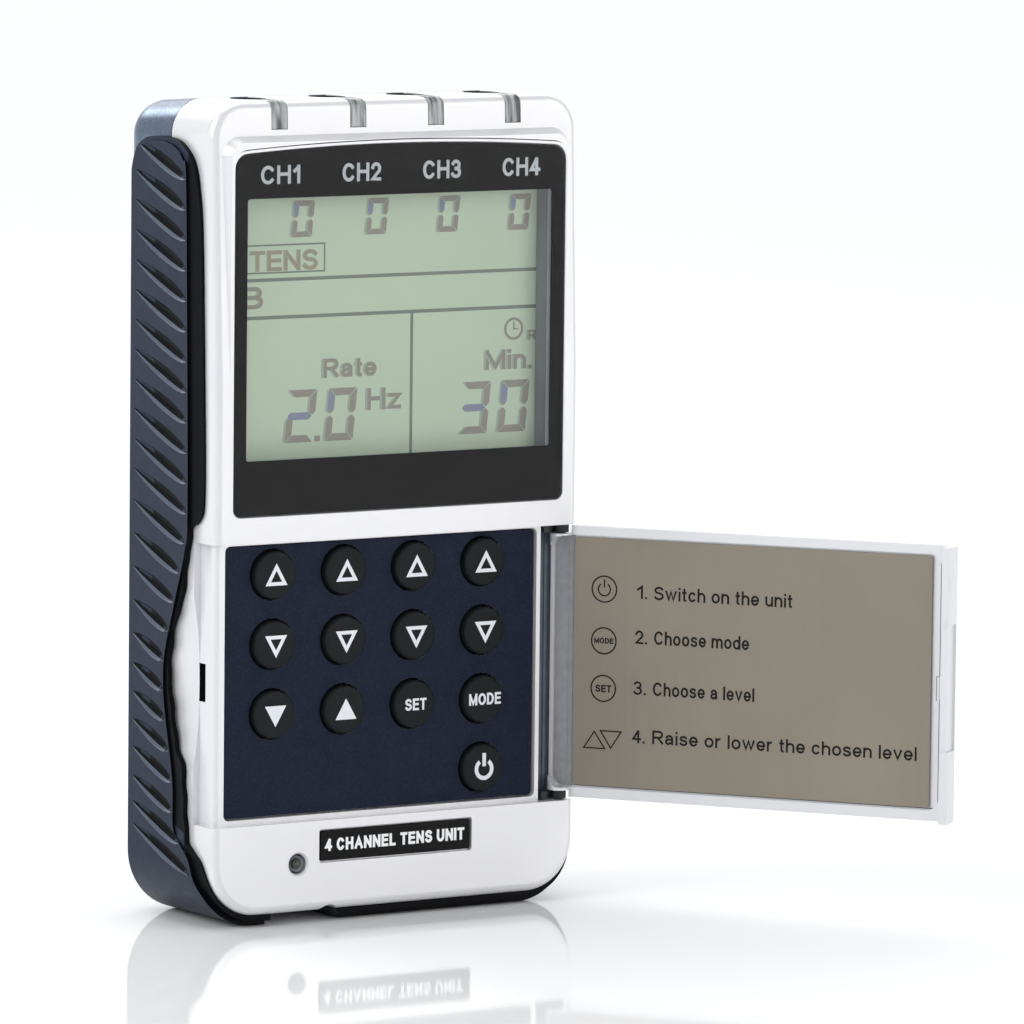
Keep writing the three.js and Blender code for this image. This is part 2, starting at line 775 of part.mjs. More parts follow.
// Local frame: the door runs along -X from the hinge, its outer face looks towards -Y.
function doorFrame() {
  const outerFace = -2;
  const rimFace = -0.65;
  const floorFace = -1.2;
  const lipTip = 3;
  const end = -DOOR_LENGTH;

  // Plate with a rounded free corner and the lip that wraps on to the side of the case
  const section = [
    new THREE.Vector2(0, outerFace),
    new THREE.Vector2(0, rimFace),
    new THREE.Vector2(end + 1.5, rimFace),
    new THREE.Vector2(end + 1.5, lipTip),
    new THREE.Vector2(end + 0.35, lipTip),
    new THREE.Vector2(end, lipTip - 0.35),
    new THREE.Vector2(end, outerFace + 1.3),
    new THREE.Vector2(end + 0.15, outerFace + 0.65),
    new THREE.Vector2(end + 0.6, outerFace + 0.18),
    new THREE.Vector2(end + 1.3, outerFace),
  ];
  let door = solidOf(prismZ(section, DOOR_BOTTOM, DOOR_TOP));

  // Shallow tray on the inside
  const tray = roundedOutline(-69.7, -0.9, 20.4, 63.2, 1.6, 1.6, 4);
  door = door.subtract(solidOf(prismY(tray, floorFace, 2)));

  // Ends cut back for the hinge, then the barrel and its bores
  door = door.subtract(box(-2.4, 4, -4, 4, DOOR_TOP - 1.3, DOOR_TOP + 1));
  door = door.subtract(box(-2.4, 4, -4, 4, DOOR_BOTTOM - 1, DOOR_BOTTOM + 1.3));
  door = door.add(rodZ(0, 0, BARREL_RADIUS, DOOR_BOTTOM + 1.3, DOOR_TOP - 1.3));
  door = door.subtract(rodZ(0, 0, PIN_HOLE_RADIUS, DOOR_TOP - 5, DOOR_TOP + 1));
  door = door.subtract(rodZ(0, 0, PIN_HOLE_RADIUS, DOOR_BOTTOM - 1, DOOR_BOTTOM + 5));

  // Middle of the lip set back between two pads, and the latch tab
  door = door.subtract(box(end - 1, end + 0.35, outerFace + 1.4, lipTip + 1, 30.3, 52));
  door = door.subtract(box(end - 1, end + 3, lipTip - 0.5, lipTip + 1, 30.3, 52));
  door = door.add(box(end + 1.3, end + 1.8, 1.6, 2.4, 39.3, 43.2));
  return geometryOf(door);
}

function doorLabel() {
  const outline = roundedOutline(-68, -2.3, 20.8, 62.8, 0.3, 0.3, 1);
  return prismY(outline, -0.95, -0.7);
}

function hingePin(upper) {
  const wallEnd = upper ? RECESS_TOP : RECESS_BOTTOM;
  const sign = upper ? 1 : -1;
  const doorEnd = upper ? DOOR_TOP - 1.3 : DOOR_BOTTOM + 1.3;
  const reach = 3;
  const clearance = 0.2;
  const inDoor = doorEnd - sign * reach;
  const inWall = wallEnd + sign * reach;
  const shaft = rodZ(0, 0, PIN_RADIUS, Math.min(inDoor, inWall), Math.max(inDoor, inWall));
  const nearDoor = doorEnd + sign * clearance;
  const nearWall = wallEnd - sign * clearance;
  const low = Math.min(nearDoor, nearWall);
  const high = Math.max(nearDoor, nearWall);
  const collar = rodZ(0, 0, 1.9, low, high);
  const bridge = box(-3.8, 0, 1.2, 2, low, high);
  const block = box(-3.8, -2.7, -0.35, 2, low, high);
  return geometryOf(shaft.add(collar).add(bridge).add(block));
}

function hingeBracket() {
  const strip = box(CHANNEL_LEFT + 0.4, CASE_WIDTH / 2 - 0.4, -11.5, -10.9, RECESS_BOTTOM + 0.3, RECESS_TOP - 0.3);
  const rib = box(CHANNEL_LEFT + 2.2, CHANNEL_LEFT + 2.6, -11.8, -11.3, RECESS_BOTTOM + 2, RECESS_TOP - 2);
  return geometryOf(strip.add(rib));
}

// ---------- screws ----------

function caseScrew() {
  const head = turnedY(
    [
      [0, -9.5],
      [1.15, -9.5],
      [1.15, 7.3],
      [2.4, 7.3],
      [2.4, 8.6],
      [1.9, 9],
      [0, 9],
    ],
    12,
  );
  const slotX = box(-1.5, 1.5, 8.3, 10, -0.25, 0.25);
  const slotZ = box(-0.25, 0.25, 8.3, 10, -1.5, 1.5);
  return geometryOf(solidOf(head).subtract(slotX).subtract(slotZ));
}

// ---------- assembly ----------

const shell = new THREE.Group();
shell.name = "shell";
group.add(shell);
addMesh(shell, "front_case", frontCase(), silver);
addMesh(shell, "rear_case", rearCase(), slate);
addMesh(shell, "rubber_boot", rubberBoot(), rubber);
addMesh(shell, "name_badge", nameBadge(), black);
const lens = addMesh(shell, "status_lens", statusLens(), { color: 0x4b544a, roughness: 0.2, metalness: 0 });
lens.position.set(-19.5, 0, 10.3);
addMesh(shell, "battery_door", batteryDoor(), slate);
SCREW_HEIGHTS.forEach((z, j) =>
  [-SCREW_X, SCREW_X].forEach((x, i) => {
    const place = (j ? "upper" : "lower") + (i ? "_right" : "_left");
    addMesh(shell, "case_screw_" + place, caseScrew(), steel).position.set(x, 0, z);
  }),
);

const display = new THREE.Group();
display.name = "display";
group.add(display);
addMesh(display, "display_window", displayWindow(), { color: 0xcfd6d2, roughness: 0.08, metalness: 0 });
addMesh(display, "display_mask", displayMask(), black);
addMesh(display, "display_frame", displayFrame(), { color: 0xa9aca8, roughness: 0.6, metalness: 0 });
addMesh(display, "display_glass", displayGlass(), { color: 0xa9b79f, roughness: 0.25, metalness: 0 });
addMesh(display, "backlight_panel", backlight(), { color: 0xe8ebe6, roughness: 0.5, metalness: 0 });
addMesh(display, "main_board", mainBoard(), { color: 0x1f5a35, roughness: 0.5, metalness: 0 });

const keypad = new THREE.Group();
keypad.name = "keypad";
group.add(keypad);
addMesh(keypad, "keypad_plate", keypadPlate(), navy);
addMesh(keypad, "keypad_mat", keypadMat(), { color: 0x5b5f63, roughness: 0.8, metalness: 0 });
for (const key of keys) addMesh(keypad, key.name, keyCap(), blackKey).position.set(key.x, 0, key.z);

const connectors = new THREE.Group();
connectors.name = "connectors";
group.add(connectors);
channelCentres.forEach((x, i) => {
  const socket = addMesh(connectors, "output_socket_" + (i + 1), outputSocket(), black);
  socket.position.set(x, SOCKET_DEPTH_Y, 0);
  const pipe = prismX(lightPipeProfile(0), -PIPE_WIDTH / 2, PIPE_WIDTH / 2);
  const clear = { color: 0x9aa3a2, roughness: 0.15, metalness: 0 };
  addMesh(connectors, "light_pipe_" + (i + 1), pipe, clear).position.x = x;
});

const batteries = new THREE.Group();
batteries.name = "batteries";
batteries.position.set(0, CELL_Y, 0);
group.add(batteries);
[-1.5, -0.5, 0.5, 1.5].forEach((step, i) => {
  const cell = addMesh(batteries, "battery_cell_" + (i + 1), batteryCell(i % 2 === 0), steel);
  cell.position.set(step * CELL_PITCH, 0, 13.75);
});
addMesh(group, "battery_contact_lower", contactStrip(12.2), brass);
addMesh(group, "battery_contact_upper", contactStrip(65.3), brass);

const hinge = new THREE.Group();
hinge.name = "hinge";
hinge.position.set(HINGE_X, HINGE_Y, 0);
group.add(hinge);
addMesh(hinge, "hinge_pin_top", hingePin(true), black);
addMesh(hinge, "hinge_pin_bottom", hingePin(false), black);
addMesh(group, "hinge_bracket", hingeBracket(), slate);

const door = new THREE.Group();
door.name = "door";
door.rotation.z = DOOR_OPEN_ANGLE;
hinge.add(door);
addMesh(door, "door_frame", doorFrame(), silver);
addMesh(door, "door_label", doorLabel(), { color: 0x877e70, roughness: 0.45, metalness: 0.2 });

export default group;
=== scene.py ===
"""Looks of a hand-held four-channel TENS unit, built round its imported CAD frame.

Sizes in this file are millimetres, and piece() turns them into metres.
+X is the right-hand side seen from the front, +Y runs to the back, +Z is up.
"""

import json
import math

import bmesh
import bpy
from mathutils import Matrix, Vector


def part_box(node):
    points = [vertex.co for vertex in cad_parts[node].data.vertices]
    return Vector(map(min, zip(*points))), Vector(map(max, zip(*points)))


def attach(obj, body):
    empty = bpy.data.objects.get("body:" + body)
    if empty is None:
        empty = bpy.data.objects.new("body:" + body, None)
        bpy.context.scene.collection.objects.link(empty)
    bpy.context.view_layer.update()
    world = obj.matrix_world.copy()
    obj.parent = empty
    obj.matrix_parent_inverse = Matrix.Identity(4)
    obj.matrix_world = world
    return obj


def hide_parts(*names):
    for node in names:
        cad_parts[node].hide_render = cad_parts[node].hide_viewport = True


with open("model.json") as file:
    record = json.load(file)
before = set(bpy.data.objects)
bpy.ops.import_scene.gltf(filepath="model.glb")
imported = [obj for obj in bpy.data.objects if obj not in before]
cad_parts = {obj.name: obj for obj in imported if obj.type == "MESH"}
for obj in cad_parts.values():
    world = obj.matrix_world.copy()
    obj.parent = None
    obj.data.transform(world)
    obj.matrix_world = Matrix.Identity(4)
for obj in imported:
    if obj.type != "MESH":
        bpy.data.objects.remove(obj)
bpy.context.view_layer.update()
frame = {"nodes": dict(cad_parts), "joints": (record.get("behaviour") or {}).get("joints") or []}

MM = 0.001
SCENE = bpy.context.scene


def span(node):
    """Lowest and highest corner of a CAD node, in millimetres."""
    low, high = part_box(node)
    return low / MM, high / MM


def centre(node):
    low, high = span(node)
    return (low + high) / 2


# ---------- places taken from the frame ----------

CASE_LOW, CASE_HIGH = span("front_case")
REAR_LOW, REAR_HIGH = span("rear_case")
WINDOW_LOW, WINDOW_HIGH = span("display_window")
PLATE_LOW, PLATE_HIGH = span("keypad_plate")
BADGE_LOW, BADGE_HIGH = span("name_badge")
LENS_LOW, LENS_HIGH = span("status_lens")
COVER_LOW, COVER_HIGH = span("battery_door")
GLASS_FACE = span("display_glass")[0].y

FRONT = CASE_LOW.y
BACK = REAR_HIGH.y
HALF = CASE_HIGH.x
TOP = CASE_HIGH.z
BOTTOM = CASE_LOW.z
PARTING = (CASE_HIGH.y + REAR_LOW.y) / 2
FAR = 20.0  # past every face, for tools that cut right through

DOOR_JOINT = next(j for j in frame["joints"] if j["name"] == "door_hinge")
OPEN_ANGLE = -math.radians(DOOR_JOINT["range_deg"][0])
HINGE_AT = (34.5, -14.0, 0)
HINGE_BORE = 0.83

WALL = 2.4
TOP_RADIUS = 6.0
BOTTOM_RADIUS = 9.0
FRONT_ROUNDING = 1.6
REAR_ROUNDING = 6.0
REAR_TOP_DROP = 0.85
FIT_GAP = 0.3
PARTING_GAP = 0.12

LEAN_START = 92.7
LEAN_ANGLE = 0.038
BEZEL_HALF = 34.8
BEZEL_TOP = 134.4
BEZEL_CHAMFER = 1.2
WINDOW_SHOULDER = WINDOW_HIGH.z - 1.1
WINDOW_CORNER = 2.6
WINDOW_LEFT_SHARE = 0.986
APERTURE = (-30.3, 30.75, 79.5, 123.8)

RECESS_BOTTOM = PLATE_LOW.z - 1.1
RECESS_TOP = PLATE_HIGH.z + 0.8
RECESS_FLOOR = -13.9
SIDE_INSET = -35.2
SIDE_INSET_BACK = -10.6
SIDE_STEP_BACK = -9.2
LATCH_SLOT = (-38, -34.3, -11.1, -9.15, 38.5, 45)
KEYPAD_WALL_BACK = -10.0
CHANNEL_LEFT = 30.3

CHANNEL_X = [sum(corner.x for corner in span(f"light_pipe_{i}")) / 2 for i in (1, 2, 3, 4)]
SOCKET_Y = -4.3
SOCKET_HOLE = 3.4
PIPE_WIDTH = 3.1
PIPE_BOTTOM = 135.3

KEY_ROWS = [
    ["key_up_ch1", "key_up_ch2", "key_up_ch3", "key_up_ch4"],
    ["key_down_ch1", "key_down_ch2", "key_down_ch3", "key_down_ch4"],
    ["key_decrease", "key_increase", "key_set", "key_mode"],
    ["key_power"],
]
KEY_SPOTS = {name: centre(name) for row in KEY_ROWS for name in row}
PLATE_FACE = PLATE_LOW.y - 0.7
KEY_HOLE = 4.47
KEY_RADIUS = 4.06
SCREWS = [f"case_screw_{end}_{side}" for end in ("lower", "upper") for side in ("left", "right")]


# ---------- solid modelling, in millimetres ----------


def raw(verts, faces, name="solid"):
    """A mesh object with its faces turned outwards."""
    mesh = bpy.data.meshes.new(name)
    mesh.from_pydata([tuple(v) for v in verts], [], faces)
    bm = bmesh.new()
    bm.from_mesh(mesh)
    bmesh.ops.recalc_face_normals(bm, faces=bm.faces)
    bm.to_mesh(mesh)
    bm.free()
    obj = bpy.data.objects.new(name, mesh)
    SCENE.collection.objects.link(obj)
    return obj


def loft(rings):
    """A closed body through rings of equal length."""
    count = len(rings[0])
    verts = [p for ring in rings for p in ring]
    faces = [list(range(count)), list(range(len(verts) - count, len(verts)))]
    for k in range(len(rings) - 1):
        for i in range(count):
            a = k * count + i
            b = k * count + (i + 1) % count
            faces.append([a, b, b + count, a + count])
    return raw(verts, faces)


def stack_y(rings):
    """A body through (y, outline) rings; an outline holds (x, z) points."""
    return loft([[(x, y, z) for x, z in points] for y, points in rings])


def prism_y(points, y0, y1):
    return stack_y([(y0, points), (y1, points)])


def prism_x(points, x0, x1):
    """Extrudes (y, z) points along X."""
    return loft([[(x, y, z) for y, z in points] for x in (x0, x1)])


def prism_z(points, z0, z1):
    """Extrudes (x, y) points along Z."""
    return loft([[(x, y, z) for x, y in points] for z in (z0, z1)])


def box(x0, x1, y0, y1, z0, z1):
    return prism_z([(x0, y0), (x1, y0), (x1, y1), (x0, y1)], z0, z1)


def bow(cx, cy, rx, ry, start, end, steps=12):
    """Points along an ellipse between two angles in degrees."""
    turns = [math.radians(start + (end - start) * i / steps) for i in range(steps + 1)]
    return [(cx + rx * math.cos(a), cy + ry * math.sin(a)) for a in turns]


def rounded(x0, x1, z0, z1, low, high=None, steps=10):
    """Outline with rounded corners: low for the bottom two, high for the top two."""
    high = low if high is None else high
    return [
        *bow(x1 - low, z0 + low, low, low, -90, 0, steps),
        *bow(x1 - high, z1 - high, high, high, 0, 90, steps),
        *bow(x0 + high, z1 - high, high, high, 90, 180, steps),
        *bow(x0 + low, z0 + low, low, low, 180, 270, steps),
    ]


def front_view(low, high, grow, corner, steps):
    """Outline of a box seen from the front, grown all round."""
    return rounded(low.x - grow, high.x + grow, low.z - grow, high.z + grow, corner, corner, steps)


def quarter(radius, steps):
    """(travel, inset) pairs of a quarter-round edge, from the face to the side."""
    turns = [math.pi / 2 * i / steps for i in range(steps + 1)]
    return [(radius * (1 - math.cos(a)), radius * (1 - math.sin(a))) for a in turns]


def lathe(profile, at, axis="y", segments=64):
    """Turned body; the profile holds (radius, height) from one end of the axis to the other."""
    verts = []
    rings = []
    for radius, height in profile:
        ring = []
        for i in range(segments if radius else 1):
            angle = 2 * math.pi * i / segments
            u = radius * math.cos(angle)
            v = radius * math.sin(angle)
            offset = (u, height, v) if axis == "y" else (u, v, height)
            ring.append(len(verts))
            verts.append([a + b for a, b in zip(at, offset)])
        rings.append(ring)
    faces = []
    for a, b in zip(rings, rings[1:]):
        for i in range(segments):
            j = (i + 1) % segments
            corner = [a[i % len(a)], a[j % len(a)], b[j % len(b)], b[i % len(b)]]
            face = list(dict.fromkeys(corner))
            if len(face) > 2:
                faces.append(face)
    return raw(verts, faces)


def rod(at, radius, start, end, axis="y", segments=64):
    return lathe([(0, start), (radius, start), (radius, end), (0, end)], at, axis, segments)


def bore(at, radius, start, end, segments=40):
    """A rod from front to back through a point's place in the front view."""
    return rod((at.x, 0, at.z), radius, start, end, "y", segments)


def smooth(points, per_span=6):
    """Catmull-Rom curve through points."""
    curve = []
    padded = [points[0], *points, points[-1]]
    for p0, p1, p2, p3 in zip(padded, padded[1:], padded[2:], padded[3:]):
        for i in range(per_span):
            t = i / per_span
            weights = (
                -t * (1 - t) ** 2 / 2,
                1 - t * t * (5 - 3 * t) / 2,
                t * (1 + t * (4 - 3 * t)) / 2,
                -t * t * (1 - t) / 2,
            )
            curve.append(tuple(sum(w * p[k] for w, p in zip(weights, (p0, p1, p2, p3))) for k in (0, 1)))
    return [*curve, tuple(points[-1])]


def combine(body, operation, *tools, solver="MANIFOLD"):
    """Applies a boolean with each tool to the body and removes the tools."""
    for tool in tools:
        modifier = body.modifiers.new("combine", "BOOLEAN")
        modifier.operation = operation
        modifier.solver = solver
        modifier.object = tool
    graph = bpy.context.evaluated_depsgraph_get()
    mesh = bpy.data.meshes.new_from_object(body.evaluated_get(graph))
    body.modifiers.clear()
    body.data = mesh
    for tool in tools:
        bpy.data.objects.remove(tool)
    return body


def cut(body, *tools):
    return combine(body, "DIFFERENCE", *tools)


def join(body, *tools):
    return combine(body, "UNION", *tools)


def common(body, *tools):
    return combine(body, "INTERSECT", *tools)


def sliced(body, points, normal):
    """The same body with extra edges where planes cross it."""
    bm = bmesh.new()
    bm.from_mesh(body.data)
    for point in points:
        geometry = [*bm.verts, *bm.edges, *bm.faces]
        bmesh.ops.bisect_plane(bm, geom=geometry, plane_co=point, plane_no=normal)
    bm.to_mesh(body.data)
    bm.free()
    return body


def gather(objects):
    """One object that holds the meshes of several that don't touch."""
    verts = []
    faces = []
    for obj in objects:
        base = len(verts)
        verts.extend(v.co[:] for v in obj.data.vertices)
        faces.extend([base + i for i in p.vertices] for p in obj.data.polygons)
        bpy.data.objects.remove(obj)
    return raw(verts, faces)


def piece(obj, name, body, material, stands_for=(), edge=0.0, edge_segments=2, place=None, sharp=35):
    """Names a body, rounds its edges, gives it its material and hangs it on the frame."""
    obj.name = name
    obj.data.name = name
    scale = Matrix.Scale(MM, 4)
    obj.data.transform(scale @ place if place else scale)
    obj.data.materials.clear()
    for one in material if isinstance(material, list) else [material]:
        obj.data.materials.append(one)
    obj.data.shade_smooth()
    obj.data.set_sharp_from_angle(angle=math.radians(sharp))
    if edge:
        bevel = obj.modifiers.new("edges", "BEVEL")
        bevel.width = edge * MM
        bevel.segments = edge_segments
        bevel.limit_method = "ANGLE"
        bevel.angle_limit = math.radians(sharp)
        bevel.miter_outer = "MITER_SHARP"
    weighted = obj.modifiers.new("normals", "WEIGHTED_NORMAL")
    weighted.keep_sharp = True
    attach(obj, body)
    if stands_for:
        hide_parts(*stands_for)


def second_material(obj, test):
    """Gives a finished piece's second material to the faces whose middle and normal pass a test."""
    for face in obj.data.polygons:
        if test(face.center / MM, face.normal):
            face.material_index = 1


# ---------- printed marks: thin plates laid on a plane ----------

PRINT_THICKNESS = 0.03
STROKE_RISE = 0.004  # lifts each stroke off the one before, so that crossing strokes don't flicker
LETTER_GAP = 0.11
WORD_GAP = 0.34


def loop(cx, cy, rx, ry):
    points = bow(cx, cy, rx, ry, 0, 360, 28)
    return [*points[:-1], points[0]]


SMALL = 0.74
BAR = [(0.5, 0), (0.5, 1)]
BOTH_SIDES = [[(0, 0), (0, 1)], [(1, 0), (1, 1)]]
BEND = [*bow(0.5, 0.76, 0.46, 0.24, 25, 270), *bow(0.5, 0.26, 0.5, 0.26, 90, -155)[1:]]
STEM = [(0, 0), (0, 1)]
B_LOWER_BOWL = [(0, 0.52), *bow(0.62, 0.26, 0.38, 0.26, 90, -90), (0, 0)]
R_BOWL = [(0, 1), *bow(0.62, 0.74, 0.34, 0.26, 90, -90), (0, 0.48)]
M_ARCHES = [[*bow(x, 0.6, 0.25, 0.4, 180, 0), (x + 0.25, 0)] for x in (0.25, 0.75)]
A_HEAD = [*bow(0.48, 0.64, 0.44, 0.36, 155, 0), (0.92, 0.02)]
A_BOWL = [(0.92, 0.56), *bow(0.38, 0.27, 0.36, 0.27, 90, 270), (0.9, 0.2)]

# Each letter holds its width and height in capital heights, then its strokes across a unit square.
LETTERS = {
    "A": (0.8, 1, [[(0, 0), (0.5, 1), (1, 0)], [(0.25, 0.34), (0.75, 0.34)]]),
    "B": (0.7, 1, [STEM, [(0, 1), *bow(0.62, 0.76, 0.3, 0.24, 90, -90), (0, 0.52)], B_LOWER_BOWL]),
    "C": (0.76, 1, [bow(0.5, 0.5, 0.5, 0.5, 42, 318, 20)]),
    "D": (0.74, 1, [STEM, [(0, 1), *bow(0.42, 0.5, 0.58, 0.5, 90, -90, 16), (0, 0)]]),
    "E": (0.66, 1, [[(1, 0), (0, 0), (0, 1), (1, 1)], [(0, 0.52), (0.92, 0.52)]]),
    "H": (0.74, 1, [*BOTH_SIDES, [(0, 0.53), (1, 0.53)]]),
    "I": (0.2, 1, [BAR]),
    "L": (0.6, 1, [[(0, 1), (0, 0), (1, 0)]]),
    "M": (0.88, 1, [*BOTH_SIDES, [(0.02, 0.94), (0.5, 0.06), (0.98, 0.94)]]),
    "N": (0.74, 1, [*BOTH_SIDES, [(0.04, 0.95), (0.96, 0.05)]]),
    "O": (0.82, 1, [loop(0.5, 0.5, 0.5, 0.5)]),
    "R": (0.74, 1, [STEM, R_BOWL, [(0.55, 0.46), (0.97, 0.02)]]),
    "S": (0.7, 1, [BEND]),
    "T": (0.68, 1, [[(0, 1), (1, 1)], BAR]),
    "U": (0.74, 1, [[(0, 1), *bow(0.5, 0.38, 0.5, 0.38, 180, 360), (1, 1)]]),
    "1": (0.4, 1, [[(1, 0), (1, 1)], [(0.9, 0.94), (0.1, 0.72)]]),
    "2": (0.62, 1, [[*bow(0.5, 0.7, 0.48, 0.3, 165, -35), (0.06, 0.02), (1, 0)]]),
    "3": (0.62, 1, [bow(0.47, 0.76, 0.44, 0.24, 155, -90), bow(0.47, 0.26, 0.52, 0.26, 90, -155)]),
    "4": (0.66, 1, [[(0.72, 0), (0.72, 0.96)], [(0.66, 0.96), (0, 0.28), (1, 0.28)]]),
    "a": (0.58, SMALL, [A_HEAD, A_BOWL]),
    "c": (0.56, SMALL, [bow(0.5, 0.5, 0.5, 0.5, 45, 315, 18)]),
    "d": (0.6, 1, [[(1, 0), (1, 1)], loop(0.5, 0.34, 0.5, 0.34)]),
    "e": (0.58, SMALL, [[(0.1, 0.48), (0.96, 0.48)], bow(0.5, 0.5, 0.5, 0.5, -2, 318, 20)]),
    "h": (0.56, 1, [STEM, [*bow(0.5, 0.4, 0.5, 0.28, 180, 0), (1, 0)]]),
    "i": (0.16, 1, [[(0.5, 0), (0.5, 0.67)], [(0.5, 0.99), (0.5, 1)]]),
    "l": (0.16, 1, [BAR]),
    "m": (0.9, SMALL, [STEM, *M_ARCHES]),
    "n": (0.56, SMALL, [STEM, [*bow(0.5, 0.6, 0.5, 0.4, 180, 0), (1, 0)]]),
    "o": (0.6, SMALL, [loop(0.5, 0.5, 0.5, 0.5)]),
    "r": (0.36, SMALL, [STEM, bow(1, 0.5, 1, 0.5, 180, 95)]),
    "s": (0.54, SMALL, [BEND]),
    "t": (0.34, 0.95, [[(0.42, 1), *bow(0.8, 0.14, 0.38, 0.14, 180, 275)], [(0.02, 0.72), (0.92, 0.72)]]),
    "u": (0.56, SMALL, [[(0, 1), *bow(0.5, 0.4, 0.5, 0.4, 180, 360)], [(1, 0), (1, 1)]]),
    "v": (0.58, SMALL, [[(0.02, 1), (0.5, 0), (0.98, 1)]]),
    "w": (0.84, SMALL, [[(0.02, 1), (0.27, 0), (0.5, 1), (0.73, 0), (0.98, 1)]]),
    "z": (0.54, SMALL, [[(0, 1), (1, 1), (0, 0), (1, 0)]]),
    ".": (0.16, 0.16, [[(0.5, 0.4), (0.5, 0.6)]]),
}


def lozenge(left, right, middle, half):
    """A level segment with both ends pointed."""
    upper = [(left + half, middle + half), (right - half, middle + half)]
    lower = [(right - half, middle - half), (left + half, middle - half)]
    return [(left, middle), *upper, (right, middle), *lower]


